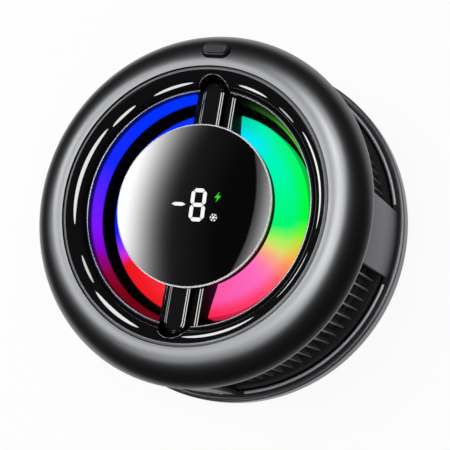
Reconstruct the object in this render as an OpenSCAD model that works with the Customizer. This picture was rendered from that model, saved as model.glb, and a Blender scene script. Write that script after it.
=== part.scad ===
// Round clip-on cooler for the back of a phone: a cold plate and magnets at the back,
// a blower inside, and a lit front with a display cup carried on two spokes.
// The cooler lies on its cold plate: +Z is the front, -Y the power inlet, +Y the button.

/* [Front ring] */
// Outer diameter of the satin front ring
ring_d = 66; // [60:0.5:76]
// Radial width of the ring
ring_w = 7.05; // [6.4:0.05:7.6]
// Height of the ring's crown above its back face
ring_h = 5.4; // [5:0.1:6.4]
// Rounding of the ring's outer edge
ring_edge_r = 1; // [0.7:0.1:1.3]
// Radial distance from the ring's inner edge to its crest
crest_in = 1.25; // [0.8:0.05:1.8]
// Wall of the ring
ring_wall = 1.2; // [1:0.1:1.5]
// Thickness of the flange inside the ring
flange_t = 0.8; // [0.6:0.1:1.2]

/* [Bezel and light ring] */
// Radial width of the bezel, from the ring to the air intake
bezel_w = 3.85; // [3.4:0.05:4.3]
// How far the intake's edge lies below the crest
intake_drop = 3.05; // [2.6:0.05:3.5]
// How far the bezel's outer edge lies below the crest
bezel_drop = 0.45; // [0.3:0.05:0.7]
// Radius of the bezel's rounding
bezel_arc_r = 4; // [3.4:0.1:5]
// Wall of the bezel
bezel_t = 1.2; // [0.9:0.1:1.5]
// Width of the trim ring
trim_w = 0.3; // [0.2:0.05:0.5]
// Height of the trim ring
trim_h = 0.8; // [0.5:0.1:1.2]
// Wall of the light ring
light_t = 1.1; // [0.8:0.1:1.3]

/* [Display and spokes] */
// Diameter of the display lens
lens_d = 30.2; // [26:0.1:32]
// Thickness of the display lens
lens_t = 0.7; // [0.5:0.1:1.2]
// Chamfer around the lens
lens_chamfer = 0.2; // [0.1:0.05:0.4]
// Height of the display cup's wall
cup_h = 1.9; // [1.5:0.1:2.6]
// Wall of the display cup
cup_wall = 0.9; // [0.7:0.1:1.2]
// Diameter of the hub column under the cup
column_d = 19.4; // [18.8:0.1:21]
// Width of a spoke arm
arm_w = 5.9; // [5:0.1:6.6]
// Thickness of a spoke arm
arm_t = 1.3; // [1.1:0.1:1.8]
// Width of the web under a spoke arm
web_w = 4.8; // [3.8:0.1:4.9]
// Width of a spoke cap
cap_w = 4.2; // [3:0.1:4.6]
// Height of a spoke cap
cap_h = 1.7; // [1.2:0.1:2]
// Bevel along a spoke cap
cap_bevel = 0.3; // [0.2:0.05:0.5]
// Thickness of the tongue that holds an arm on the ring
tongue_t = 0.6; // [0.5:0.05:0.9]

/* [Vents and panels] */
// Angle that a side panel covers
panel_angle = 22.4; // [20:0.2:26]
// Thickness of a side panel
panel_t = 0.95; // [0.7:0.05:1.3]
// How far the ring stands out past the panels
ring_overhang = 0.35; // [0.2:0.05:0.6]
// How far the fins lie inside the cage
vent_depth = 1.1; // [0.8:0.1:1.5]
// Radial depth of a cage post
post_depth = 2.7; // [2.4:0.1:3]
// Thickness of the cage's top ring
cage_top_t = 1.2; // [0.9:0.1:1.6]

/* [Heat sink] */
// Height of the fins above the base
fin_h = 13.4; // [12.6:0.1:16]
// Radial length of a fin
fin_len = 4.7; // [4.2:0.1:5.2]
// Thickness of a fin
fin_t = 0.4; // [0.3:0.05:0.6]
// Angle from fin to fin
fin_pitch = 3.9; // [3.4:0.1:5]
// Thickness of the heat sink's base
sink_t = 2; // [1.8:0.1:3]

/* [Blower] */
// Number of blades
blade_count = 72; // [48:1:80]
// Thickness of a blade
blade_t = 0.45; // [0.35:0.05:0.6]
// Radial length of a blade
blade_len = 5.3; // [4.8:0.1:5.8]
// How far the blades' inner edges lean outwards
blade_lean = 1.1; // [0.8:0.1:1.4]
// Turn of a blade away from the radius
blade_turn = 20; // [10:1:28]
// Thickness of the wheel's plate
plate_t = 0.7; // [0.6:0.05:1]
// Height of the wheel's rim
rim_h = 0.6; // [0.4:0.05:0.9]

/* [Motor] */
// Diameter of the shaft
shaft_d = 2; // [1.6:0.1:2.4]
// Wall of the bearing sleeve
sleeve_wall = 0.95; // [0.8:0.05:1.1]
// Wall of the bearing tube
tube_wall = 0.7; // [0.5:0.05:0.9]
// Outer diameter of the rotor can
can_d = 22.4; // [21:0.1:23.4]
// Sheet thickness of the rotor can
can_t = 0.4; // [0.3:0.05:0.6]
// Radial thickness of the rotor magnet
rotor_magnet_t = 1.2; // [1:0.05:1.5]
// Number of stator teeth
teeth = 9; // [6:3:12]
// Height of the stator core
core_h = 2.4; // [1.6:0.1:2.8]
// How far the coils stand out above and below the core
coil_h = 0.6; // [0.4:0.05:0.9]

/* [Light dish] */
// Thickness of the light dish
dish_t = 1; // [0.9:0.05:1.4]
// Number of chips under the dish
chip_count = 12; // [6:1:16]
// Width of a chip
chip_w = 2; // [1.6:0.1:2.4]
// Thickness of the circuit boards
board_t = 0.8; // [0.6:0.05:1]

/* [Cold side] */
// Thickness of the part of the cold plate that meets the phone
cold_t = 2; // [1.6:0.1:2.6]
// Thickness of the cold plate's lip
lip_t = 0.8; // [0.6:0.1:1.2]
// Width of the thermoelectric module
tec_w = 25; // [20:0.5:26]
// Thickness of one ceramic face
ceramic_t = 0.6; // [0.5:0.05:0.8]
// Height of the legs between the faces
leg_h = 1.4; // [1.2:0.1:2]
// Width of one leg
leg_w = 1.5; // [1.1:0.1:1.9]
// Legs along one side of the module
leg_rows = 7; // [5:1:8]
// Diameter of a lead
lead_d = 0.8; // [0.6:0.05:1]
// Thickness of the grip pad
pad_t = 1; // [0.8:0.1:1.4]

/* [Rear cover] */
// How far the flange stands out past the panels
flange_out = 1.35; // [1:0.05:2]
// Height of the flange
flange_h = 3.6; // [3:0.1:4.2]
// Thickness of the rear cover's floor
floor_t = 1; // [0.8:0.1:1.3]
// Rounding of the flange's top edge
flange_edge_r = 0.7; // [0.4:0.05:1]
// Radius of the bead on the flange
bead_r = 0.3; // [0.2:0.05:0.4]
// Number of magnets
magnet_count = 16; // [12:1:18]
// Radial width of the magnets
magnet_w = 3.5; // [3:0.1:4]
// Thickness of the steel shield
shield_t = 0.6; // [0.4:0.05:0.8]
// Width of the wall between the magnets and the cold plate
collar_w = 1.8; // [1.5:0.1:2.2]

/* [Power button] */
// How far outside the ring's crest the button sits
button_off = 1.7; // [1.2:0.1:2.2]
// Length of the button
button_l = 5; // [4:0.1:5.6]
// Width of the button
button_w = 2.3; // [1.8:0.1:2.6]
// How far the button stands out
button_out = 1; // [0.6:0.05:1.3]
// Travel of the button
button_travel = 0.3; // [0.2:0.05:0.35]

/* [Power inlet] */
// Outer width of the USB-C shell
port_w = 8.94; // [8.94:0.01:9]
// Outer height of the USB-C shell
port_h = 3.16; // [3.16:0.01:3.2]
// Length of the USB-C shell
port_len = 7.3; // [6.5:0.1:8]
// Sheet thickness of the USB-C shell
port_t = 0.3; // [0.25:0.05:0.35]
// Length of the main board
board_len = 14; // [12:0.5:15]

/* [Screws] */
// Diameter of a screw's shank
screw_d = 1.4; // [1.2:0.1:1.6]
// Diameter of a screw's head
head_d = 2.4; // [2:0.1:2.6]
// Height of a screw's head
head_h = 0.8; // [0.6:0.05:0.9]

/* [Clearances] */
// Gap between fixed pieces
seat_gap = 0.1; // [0.05:0.01:0.15]
// Gap around a screw's shank
screw_gap = 0.03; // [0.02:0.01:0.05]
// Gap between turning and fixed pieces
run_gap = 0.3; // [0.25:0.05:0.4]
// Gap between the wheel and the fins
fan_gap = 0.6; // [0.4:0.05:0.8]
// Radial gap of the shaft and of the plunger
shaft_gap = 0.03; // [0.02:0.01:0.06]
// Gap around the button
button_gap = 0.15; // [0.12:0.01:0.2]

/* [Hidden] */
$fn = 96;
eps = 0.01;

// Small laps, lips and insets
past = 1;
ledge_w = 1.1;
magnet_inset = 0.5;
shield_lap = 0.2;
lip_w = 1;
wheel_drop = 0.7;
rim_w = 1.5;
intake_lip = 0.35;
bezel_skirt = 0.9;
arm_end = 0.7;
arm_edge = 0.3;
flange_lap = 0.75;
board_gap = 0.4;
trim_proud = 0.1;
magnet_fill = 0.94;
tec_edge = 1;
lead_at = 3;
lead_end = 2;
fin_foot = 0.2;
post_reveal = 0.6;
ear_play = 2;
module_t = 2;
chip_t = 0.5;
chip_gap = 0.1;
dish_lip = 1.2;
hub_floor = 1.6;
port_inset = 0.2;
board_inset = 0.4;
board_side = 0.15;
plug_room = 0.9;
plug_depth = 0.3;
bead_inset = 0.4;
pad_inset = 0.4;

// Radii, from the ring inwards
ring_r = ring_d / 2;
panel_r = ring_r - ring_overhang;
cage_r = panel_r - panel_t - seat_gap;
fin_r = cage_r - vent_depth;
fin_in = fin_r - fin_len;
post_in = cage_r - post_depth;
sink_r = post_in - run_gap;
wheel_r = fin_in - fan_gap;
blade_in = wheel_r - blade_len;
blade_top_in = blade_in + blade_lean;
dish_r = blade_in - run_gap;
ledge_in = sink_r - ledge_w;
magnet_out = ledge_in - magnet_inset;
magnet_in = magnet_out - magnet_w;
collar_in = magnet_in - seat_gap - collar_w;
lip_r = collar_in - seat_gap;
cold_r = lip_r - lip_w;
hole_r = cold_r + seat_gap;
flange_r = panel_r + flange_out;
rim_in = cage_r + run_gap;
cup_r = lens_d / 2;
column_r = column_d / 2;
bezel_r = ring_r - ring_w;
intake_r = bezel_r - bezel_w;
bezel_out = bezel_r - trim_w - 2 * seat_gap;
crest_r = bezel_r + crest_in;
board_in = max(intake_r, blade_top_in) + light_t + board_gap;

// Levels, from the cold plate upwards
z_cover = pad_t;
z_floor = z_cover + floor_t;
z_rim = z_cover + flange_h;
z_lip = max(cold_t, z_floor);
z_tec = z_lip + lip_t;
tec_t = 2 * ceramic_t + leg_h;
z_sink = z_tec + tec_t;
z_base = z_sink + sink_t;
z_fin_top = z_base + fin_h;
z_cage_top = z_fin_top + run_gap + cage_top_t;
z_back = z_cage_top;
z_flange = z_back + flange_t;
z_crest = z_back + ring_h;
z_arm_top = z_flange + tongue_t;
z_arm = z_arm_top - arm_t;
z_cup_top = z_arm_top + cup_h;
z_lens_top = z_cup_top + lens_t;
z_intake = z_crest - intake_drop;
z_bezel = z_crest - bezel_drop;
z_front_board = z_flange + board_t;
magnet_t = z_sink - run_gap - shield_t - z_floor;
z_shield = z_floor + magnet_t;

// Levels of the motor and the blower
motor_board_t = 0.75 * board_t;
z_motor_board = z_base + motor_board_t;
z_coil = z_motor_board + run_gap;
z_core = z_coil + coil_h;
z_core_top = z_core + core_h;
z_coil_top = z_core_top + coil_h;
z_can_top = z_coil_top + run_gap + can_t;
z_plate = z_can_top + plate_t;
z_led = z_plate + head_h + run_gap - board_t;
z_dish = z_led + board_t;
z_dish_top = z_dish + dish_t;
z_wheel_top = z_fin_top - wheel_drop;
z_rim_under = z_wheel_top - rim_h;
z_light = z_wheel_top + run_gap;
z_light_top = z_intake - intake_lip - seat_gap;

// Ring's crown: one arc, tangent to the edge rounding
crown_a = ring_r - ring_edge_r - crest_r;
crown_b = ring_edge_r - ring_h;
crown_r = (ring_edge_r ^ 2 - crown_a ^ 2 - crown_b ^ 2) / (2 * (crown_b + ring_edge_r));
crown_c = [crest_r, z_crest - crown_r];
edge_c = [ring_r - ring_edge_r, z_back + ring_edge_r];

// Spokes
notch_r = arm_w / 2 + run_gap / 2;
notch_y = intake_r - arm_end;
tongue_r = bezel_r - seat_gap;
flange_in = bezel_r - flange_lap;

// Button's own frame: on the crown, square to it
button_r = crest_r + button_off;
button_tilt = asin(button_off / crown_r);
button_z = crown_c.y + crown_r * cos(button_tilt);
moat_w = 0.35;
moat_h = 0.5;
collar_h = 0.4;
collar_out = 0.3;
button_edge = 0.3;
button_under = ring_wall + button_gap + collar_h;
plunger_r = 0.9;
plunger_guide = 0.5;
switch_l = 4;
switch_w = 2.6;
switch_top = button_under + button_travel + button_gap;
plunger_len = switch_top - button_under + plunger_guide;
switch_floor = 0.25;
switch_under = button_under + plunger_len + button_travel + button_gap + switch_floor;
button_board_t = 0.5;
button_board_l = switch_l + 0.8;
button_board_w = switch_w + 0.2;
button_seat = switch_under + button_board_t;

// Power inlet
z_port = z_sink + board_t + port_h / 2;
port_face = panel_r - port_inset;
board_w = port_w + 2 * board_side;
board_face = cage_r - board_inset;

// Motor radii
shaft_r = shaft_d / 2;
sleeve_r = shaft_r + shaft_gap + sleeve_wall;
tube_r = sleeve_r + tube_wall;
can_r = can_d / 2;
can_in = can_r - can_t;
rotor_magnet_in = can_in - rotor_magnet_t;
core_r = rotor_magnet_in - run_gap;
hub_wall = 1.6;
core_hub_r = tube_r + hub_wall;
tooth_w = 1.5;
shoe_t = 1;
tube_sink = 0.7 * sink_t;
pad_h = 0.5;
z_pad = z_base - tube_sink;
thrust_gap = 0.05;
z_shaft = z_pad + pad_h + thrust_gap;
clip_h = 0.3;
clip_depth = 0.25;
clip_up = 0.3;
z_clip = z_shaft + clip_up;
z_sleeve = z_clip + clip_h + run_gap;
z_tube_top = z_can_top - can_t - run_gap;

// Screw places
screw_r = screw_d / 2;
hole_gap_r = screw_r + screw_gap;
head_r = head_d / 2;
case_screw_at = (ledge_in + cage_r) / 2;
screw_land = 0.8;
head_sunk = 0.4;
case_screw_len = z_sink - z_floor - screw_land;
ear_inset = 0.7;
ear_r = cage_r - ear_inset;
ear_angle = 11;
head_margin = 0.3;
sink_screw_at = ear_r - head_r - head_margin;
screw_wall = 0.4;
ring_screw_at = post_in + screw_r + screw_wall;
ring_screw_turn = 6;
ring_screw_len = 5;
dish_screw_at = 4;
dish_screw_len = dish_t + 1;
hole_end = 0.2;

function arc(c, r, a0, a1, n) =
  [for (i = [0:n]) c + r * [cos(a0 + (a1 - a0) * i / n), sin(a0 + (a1 - a0) * i / n)]];

function mid_arc_centre(p, q, r) =
  let (m = (p + q) / 2, d = norm(p - q) / 2, h = sqrt(r * r - d * d), u = (p - q) / (2 * d))
  m + h * [u.y, -u.x];

function angle_from(c, p) = atan2(p.y - c.y, p.x - c.x);

module ring(r_out, r_in, z0, z1) {
  translate([0, 0, z0]) difference() {
    cylinder(r = r_out, h = z1 - z0);
    translate([0, 0, -past]) cylinder(r = r_in, h = z1 - z0 + 2 * past);
  }
}

// Upright block with round ends along X, on its own base
module oblong(l, w, h) {
  for (s = [-1, 1]) translate([s * (l - w) / 2, 0, 0]) cylinder(d = w, h = h);
  translate([-(l - w) / 2, -w / 2, 0]) cube([l - w, w, h]);
}

// The same block, chamfered around its top
module eased_oblong(l, w, h, c) {
  oblong(l, w, h - c);
  for (s = [-1, 1]) translate([s * (l - w) / 2, 0, h - c]) cylinder(d1 = w, d2 = w - 2 * c, h = c);
  translate([-(l - w) / 2, 0, h - c]) rotate([90, 0, 90]) linear_extrude(l - w)
    polygon([[-w / 2, 0], [w / 2, 0], [w / 2 - c, c], [c - w / 2, c]]);
}

// Slice of a ring, centred on the angle at
module sector(r_out, r_in, z0, z1, at, span) {
  rotate([0, 0, at - span / 2]) translate([0, 0, z0]) rotate_extrude(angle = span)
    translate([r_in, 0]) square([r_out - r_in, z1 - z0]);
}

// Bar along +Y that covers the arm's shape, with a round far end and an eased top
module spoke_bar(w, y0, y1, z0, z1, c) {
  translate([0, y1, z0]) rotate([90, 0, 0]) linear_extrude(y1 - y0)
    polygon([[-w / 2, 0], [w / 2, 0], [w / 2, z1 - z0 - c], [w / 2 - c, z1 - z0],
             [c - w / 2, z1 - z0], [-w / 2, z1 - z0 - c]]);
  translate([0, y1, z0]) cylinder(d = w, h = z1 - z0 - c);
  translate([0, y1, z1 - c]) cylinder(d1 = w, d2 = w - 2 * c, h = c);
}

module both_ends() {
  for (a = [0, 180]) rotate([0, 0, a]) children();
}

module on_button() {
  translate([0, button_r, button_z]) rotate([-button_tilt, 0, 0]) children();
}

// Screw with a plain head on top of z, its shank going down
module screw(z, len) {
  translate([0, 0, z]) cylinder(r = head_r, h = head_h);
  translate([0, 0, z - len]) cylinder(r = screw_r, h = len);
}

module at_ring_screws() {
  for (side = [0, 180], s = [-1, 1]) rotate([0, 0, side + s * ring_screw_turn])
    translate([ring_screw_at, 0, 0]) children();
}

module at_sink_screws() {
  for (a = [0, 90, 180]) rotate([0, 0, a]) translate([sink_screw_at, 0, 0]) children();
}

module at_case_screws() {
  for (a = [45:90:315]) rotate([0, 0, a]) translate([case_screw_at, 0, 0]) children();
}

module at_dish_screws() {
  for (a = [30:120:270]) rotate([0, 0, a]) translate([dish_screw_at, 0, 0]) children();
}

module front_ring() {
  in_r = crown_r - ring_wall;
  skirt_in = bezel_r + ring_wall;
  a_in = acos((bezel_r - crest_r) / crown_r);
  a_edge = angle_from(crown_c, edge_c);
  a_low = asin((z_flange - crown_c.y) / in_r);
  a_high = acos((skirt_in - crest_r) / in_r);
  z_skirt = z_front_board + seat_gap;
  color("#26272a") difference() {
    union() {
      rotate_extrude() polygon(concat(
        arc(crown_c, crown_r, a_in, a_edge, 14),
        arc(edge_c, ring_edge_r, a_edge, -90, 8),
        [[flange_in, z_back], [flange_in, z_flange]],
        arc(crown_c, in_r, a_low, a_high, 10),
        [[skirt_in, z_skirt], [bezel_r, z_skirt]]));
      intersection() {
        on_button() translate([-button_board_l / 2, -button_board_w / 2, -button_seat - ring_h])
          cube([button_board_l, button_board_w, ring_h + button_board_t / 2]);
        translate([-ring_r, bezel_r, z_flange - eps]) cube([2 * ring_r, ring_r - bezel_r, ring_h]);
      }
    }
    on_button() {
      translate([0, 0, -moat_h]) oblong(button_l + 2 * moat_w, button_w + 2 * moat_w, ring_h);
      translate([0, 0, -button_under])
        oblong(button_l + 2 * button_gap, button_w + 2 * button_gap, ring_h);
      translate([0, 0, -switch_top]) oblong(button_l + 2 * (collar_out + button_gap),
        button_w + 2 * (collar_out + button_gap), switch_top - ring_wall);
      translate([-button_board_l / 2 - seat_gap, -button_board_w / 2 - seat_gap, -button_seat])
        cube([button_board_l + 2 * seat_gap, button_board_w + 2 * seat_gap, button_seat - button_under]);
    }
    at_ring_screws() translate([0, 0, z_back - past]) cylinder(r = hole_gap_r, h = flange_t + 1.5 * past);
  }
}

module trim_ring() {
  color("#8d9096")
    ring(bezel_r - seat_gap, bezel_r - seat_gap - trim_w, z_bezel - trim_h, z_bezel + trim_proud);
}

module front_bezel() {
  p = [bezel_out, z_bezel];
  q = [intake_r, z_intake];
  c = mid_arc_centre(p, q, bezel_arc_r);
  in_r = bezel_arc_r - bezel_t;
  skirt = bezel_out - bezel_skirt;
  color("#0b0b0d") difference() {
    rotate_extrude() polygon(concat(
      arc(c, bezel_arc_r, angle_from(c, p), angle_from(c, q), 14),
      [[intake_r, z_intake - intake_lip]],
      arc(c, in_r, angle_from(c, q), acos((skirt - c.x) / in_r), 8),
      [[skirt, z_front_board], [bezel_out, z_front_board]]));
    both_ends() {
      translate([0, notch_y, z_flange - past]) cylinder(r = notch_r, h = ring_h);
      translate([-notch_r, cup_r, z_flange - past]) cube([2 * notch_r, notch_y - cup_r, ring_h]);
      translate([-web_w / 2 - seat_gap, notch_y, z_flange - past])
        cube([web_w + 2 * seat_gap, bezel_r - notch_y, tongue_t + seat_gap + past]);
    }
  }
}

module light_ring() {
  color("#2440ff") difference() {
    rotate_extrude() polygon([
      [intake_r + seat_gap, z_light_top], [intake_r + seat_gap + light_t, z_light_top],
      [blade_top_in + light_t, z_light], [blade_top_in, z_light]]);
    both_ends() translate([-notch_r, cup_r, z_arm - seat_gap])
      cube([2 * notch_r, ring_r - cup_r, ring_h]);
  }
}

module spoke_arms() {
  color("#0e0e10") both_ends() difference() {
    union() {
      spoke_bar(arm_w, 0, notch_y, z_arm, z_arm_top, arm_edge);
      translate([-web_w / 2, 0, z_dish_top]) cube([web_w, dish_r - seat_gap, z_arm - z_dish_top]);
      translate([-web_w / 2, notch_y, z_flange]) cube([web_w, tongue_r - notch_y, tongue_t]);
    }
    translate([0, 0, z_dish_top - past]) cylinder(r = column_r, h = z_arm_top);
  }
}

module spoke_caps() {
  color("#151517") both_ends() difference() {
    spoke_bar(cap_w, 0, notch_y, z_arm_top, z_arm_top + cap_h, cap_bevel);
    translate([0, 0, z_arm_top - past]) cylinder(r = cup_r + seat_gap, h = ring_h);
  }
}

module display_cup() {
  edge = 0.4;
  cup_floor = 0.6;
  floor_z = z_arm_top + cup_floor;
  hub_z = z_dish_top + hub_floor;
  color("#101012") difference() {
    rotate_extrude() polygon(concat(
      [[0, z_dish_top], [column_r, z_dish_top], [column_r, z_arm_top]],
      arc([cup_r - edge, z_arm_top + edge], edge, -90, 0, 5),
      [[cup_r, z_cup_top], [cup_r - cup_wall, z_cup_top], [cup_r - cup_wall, floor_z],
       [column_r - cup_wall, floor_z], [column_r - cup_wall, hub_z], [0, hub_z]]));
    at_dish_screws() translate([0, 0, z_dish]) cylinder(r = hole_gap_r, h = dish_screw_len + hole_end);
  }
}

module display_lens() {
  color("#050506") rotate_extrude() polygon([[0, z_cup_top], [cup_r, z_cup_top],
    [cup_r, z_lens_top - lens_chamfer], [cup_r - lens_chamfer, z_lens_top], [0, z_lens_top]]);
}

module display_module() {
  w = 11.6;
  d = 9;
  color("#dddddd") translate([-w / 2, -d / 2, z_cup_top - seat_gap - module_t])
    cube([w, d, module_t]);
}

module display_board() {
  z = z_cup_top - seat_gap - module_t - board_t;
  color("#163a24") translate([0, 0, z]) cylinder(r = column_r - cup_wall - seat_gap, h = board_t);
}

module light_dish() {
  color("#ff4fa0") difference() {
    translate([0, 0, z_dish]) cylinder(r = dish_r, h = dish_t);
    ring(dish_r - dish_lip, dish_r - dish_lip - 2 * chip_w, z_dish - past, z_dish + chip_t + chip_gap);
    at_dish_screws() translate([0, 0, z_dish - past]) cylinder(r = hole_gap_r, h = dish_t + 2 * past);
  }
}

module led_board() {
  color("#eeeeee") ring(dish_r - board_gap, dish_screw_at + head_r + board_gap, z_led, z_dish);
}

module led_chips() {
  color("#fff6d8") for (i = [0:chip_count - 1]) rotate([0, 0, (i + 0.5) * 360 / chip_count])
    translate([dish_r - dish_lip - 1.5 * chip_w, -chip_w / 2, z_dish]) cube([chip_w, chip_w, chip_t]);
}

module front_board() {
  color("#163a24") difference() {
    ring(ring_screw_at - head_r - board_gap, board_in, z_flange, z_front_board);
    both_ends() translate([-arm_w / 2 - board_gap, 0, z_back])
      cube([arm_w + 2 * board_gap, ring_r, ring_h]);
  }
}

module ring_chips() {
  w = 1.6;
  d = 0.6;
  color("#fff6d8") for (i = [0:chip_count - 1]) rotate([0, 0, (i + 0.5) * 360 / chip_count])
    translate([board_in + chip_gap, -w / 2, z_flange - chip_t]) cube([d, w, chip_t]);
}

module power_button() {
  color("#2c2d30") on_button() {
    translate([0, 0, -ring_wall - button_gap])
      eased_oblong(button_l, button_w, ring_wall + button_gap + button_out, button_edge);
    translate([0, 0, -button_under])
      oblong(button_l + 2 * collar_out, button_w + 2 * collar_out, collar_h);
  }
}

module switch_plunger() {
  color("#d8d8d8") on_button() translate([0, 0, -button_under - plunger_len])
    cylinder(r = plunger_r, h = plunger_len);
}

module switch_body() {
  color("#9da0a4") on_button() difference() {
    translate([-switch_l / 2, -switch_w / 2, -switch_under])
      cube([switch_l, switch_w, switch_under - switch_top]);
    translate([0, 0, -switch_under + switch_floor])
      cylinder(r = plunger_r + shaft_gap, h = switch_under);
  }
}

module button_board() {
  color("#163a24") on_button() translate([-button_board_l / 2, -button_board_w / 2, -button_seat])
    cube([button_board_l, button_board_w, button_board_t]);
}

module vent_cage() {
  sill = 0.5;
  top_in = (fin_in + sink_r) / 2;
  z_top_ring = z_cage_top - cage_top_t;
  z_sill = z_sink + fin_foot / 2;
  z_head = z_top_ring - run_gap / 2;
  window = 90 - panel_angle + post_reveal;
  color("#141416") difference() {
    rotate_extrude() polygon([[ledge_in, z_floor], [cage_r, z_floor], [cage_r, z_cage_top],
      [top_in, z_cage_top], [top_in, z_top_ring], [post_in, z_top_ring], [post_in, z_sink],
      [ledge_in, z_sink]]);
    for (v = [45:90:315]) rotate([0, 0, v - window / 2]) rotate_extrude(angle = window)
      polygon([[post_in - past, z_sill], [cage_r - sill, z_sill],
        [cage_r + past, z_sill - sill - past], [cage_r + past, z_head], [post_in - past, z_head]]);
    for (a = [0, 90, 180])
      sector(ear_r + run_gap, ledge_in - past, z_sink - seat_gap, z_base + head_h + run_gap, a,
        ear_angle + ear_play);
    translate([-board_w / 2 - seat_gap, -ring_r, z_sink])
      cube([board_w + 2 * seat_gap, ring_r - post_in + past, board_t + port_h + seat_gap]);
    at_case_screws() translate([0, 0, z_cover])
      cylinder(r = hole_gap_r, h = floor_t + case_screw_len + hole_end);
    at_sink_screws() translate([0, 0, z_floor + screw_land - hole_end])
      cylinder(r = hole_gap_r, h = z_sink - z_floor);
    at_ring_screws() translate([0, 0, z_flange - ring_screw_len - hole_end])
      cylinder(r = hole_gap_r, h = ring_screw_len + past);
  }
}

module panel(at) {
  color("#55575c")
    sector(panel_r, panel_r - panel_t, z_rim + seat_gap, z_back - seat_gap, at, panel_angle);
}

module panel_right() { panel(0); }

module panel_top() { panel(90); }

module panel_left() { panel(180); }

module port_panel() {
  difference() {
    panel(270);
    translate([0, -panel_r - past, z_port]) rotate([-90, 0, 0]) {
      oblong(port_w + 2 * seat_gap, port_h + 2 * seat_gap, panel_t + 2 * past);
      oblong(port_w + 2 * plug_room, port_h + 2 * plug_room, past + plug_depth);
    }
  }
}

module cooling_fins() {
  side_room = 2;
  fins = floor((90 - panel_angle - 2 * side_room) / fin_pitch) + 1;
  z_low = z_sink + fin_foot;
  color("#1b1c1f") for (v = [45:90:315], i = [0:fins - 1])
    rotate([0, 0, v + (i - (fins - 1) / 2) * fin_pitch]) translate([0, fin_t / 2, 0])
      rotate([90, 0, 0]) linear_extrude(fin_t) polygon([[fin_in, z_base], [sink_r, z_base],
        [sink_r, z_low], [fin_r, z_low], [fin_r, z_fin_top], [fin_in, z_fin_top]]);
}

module heat_sink() {
  color("#202124") difference() {
    translate([0, 0, z_sink]) linear_extrude(sink_t) {
      circle(r = sink_r);
      for (a = [0, 90, 180]) rotate(a) intersection() {
        circle(r = ear_r);
        polygon([[0, 0], ring_r * [1, -tan(ear_angle / 2)], ring_r * [1, tan(ear_angle / 2)]]);
      }
    }
    translate([-board_w / 2 - run_gap, -ring_r, z_sink - past])
      cube([board_w + 2 * run_gap, ring_r - board_face + board_len + run_gap, sink_t + 2 * past]);
    translate([0, 0, z_pad]) cylinder(r = tube_r, h = sink_t);
    at_sink_screws() translate([0, 0, z_sink - past]) cylinder(r = hole_gap_r, h = sink_t + 2 * past);
  }
}

module wheel_plate() {
  color("#0d0d0f") translate([0, 0, z_can_top]) difference() {
    cylinder(r = wheel_r, h = plate_t);
    translate([0, 0, -past]) cylinder(r = shaft_r, h = plate_t + 2 * past);
  }
}

module fan_blades() {
  notch = blade_len - rim_w - seat_gap;
  color("#0d0d0f") for (i = [0:blade_count - 1]) rotate([0, 0, i * 360 / blade_count])
    translate([blade_in, 0, 0]) rotate([0, 0, blade_turn]) translate([0, blade_t / 2, 0])
      rotate([90, 0, 0]) linear_extrude(blade_t) polygon([[blade_t, z_plate],
        [blade_len - blade_t, z_plate], [blade_len - blade_t, z_rim_under], [notch, z_rim_under],
        [notch, z_wheel_top], [blade_lean + blade_t, z_wheel_top], [blade_t, z_dish_top]]);
}

module wheel_rim() {
  color("#0d0d0f") ring(wheel_r, wheel_r - rim_w, z_rim_under, z_wheel_top);
}

module rotor_can() {
  color("#a5a8ad") rotate_extrude() polygon([[shaft_r, z_can_top - can_t],
    [can_in, z_can_top - can_t], [can_in, z_motor_board + run_gap], [can_r, z_motor_board + run_gap],
    [can_r, z_can_top], [shaft_r, z_can_top]]);
}

module rotor_magnet() {
  color("#3a3a3d") ring(can_in, rotor_magnet_in, z_coil + run_gap, z_coil_top);
}

module motor_shaft() {
  color("#c9ccd1") difference() {
    translate([0, 0, z_shaft]) cylinder(r = shaft_r, h = z_plate - z_shaft);
    ring(shaft_r + past, shaft_r - clip_depth, z_clip, z_clip + clip_h);
  }
}

module shaft_clip() {
  color("#d4cdb8") ring(sleeve_r - run_gap, shaft_r - clip_depth, z_clip, z_clip + clip_h);
}

module bearing_sleeve() {
  color("#b08d57") ring(sleeve_r, shaft_r + shaft_gap, z_sleeve, z_tube_top);
}

module bearing_tube() {
  color("#c2a050") ring(tube_r, sleeve_r, z_pad, z_tube_top);
}

module thrust_pad() {
  color("#f2efe6") translate([0, 0, z_pad]) cylinder(r = sleeve_r, h = pad_h);
}

module stator_core() {
  shoe = 0.8 * 180 / teeth;
  root = core_hub_r - shoe_t / 2;
  color("#7c8087") translate([0, 0, z_core]) linear_extrude(core_h) difference() {
    union() {
      circle(r = core_hub_r);
      for (i = [0:teeth - 1]) rotate(i * 360 / teeth) {
        translate([root, -tooth_w / 2]) square([core_r - shoe_t / 2 - root, tooth_w]);
        polygon(concat(arc([0, 0], core_r, -shoe, shoe, 6),
          arc([0, 0], core_r - shoe_t, shoe, -shoe, 6)));
      }
    }
    circle(r = tube_r);
  }
}

module stator_coils() {
  room = 0.4;
  inner = core_hub_r + room;
  len = core_r - shoe_t - room - inner;
  side = 0.5;
  color("#b5622b") for (i = [0:teeth - 1]) rotate([0, 0, i * 360 / teeth]) difference() {
    translate([inner, -tooth_w / 2 - side, z_coil])
      cube([len, tooth_w + 2 * side, z_coil_top - z_coil]);
    translate([inner - past, -tooth_w / 2, z_core]) cube([len + 2 * past, tooth_w, core_h]);
  }
}

module motor_board() {
  color("#163a24") ring(can_r, tube_r + run_gap, z_base, z_motor_board);
}

module main_board() {
  color("#163a24") translate([-board_w / 2, -board_face, z_sink])
    cube([board_w, board_len, board_t]);
}

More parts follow.
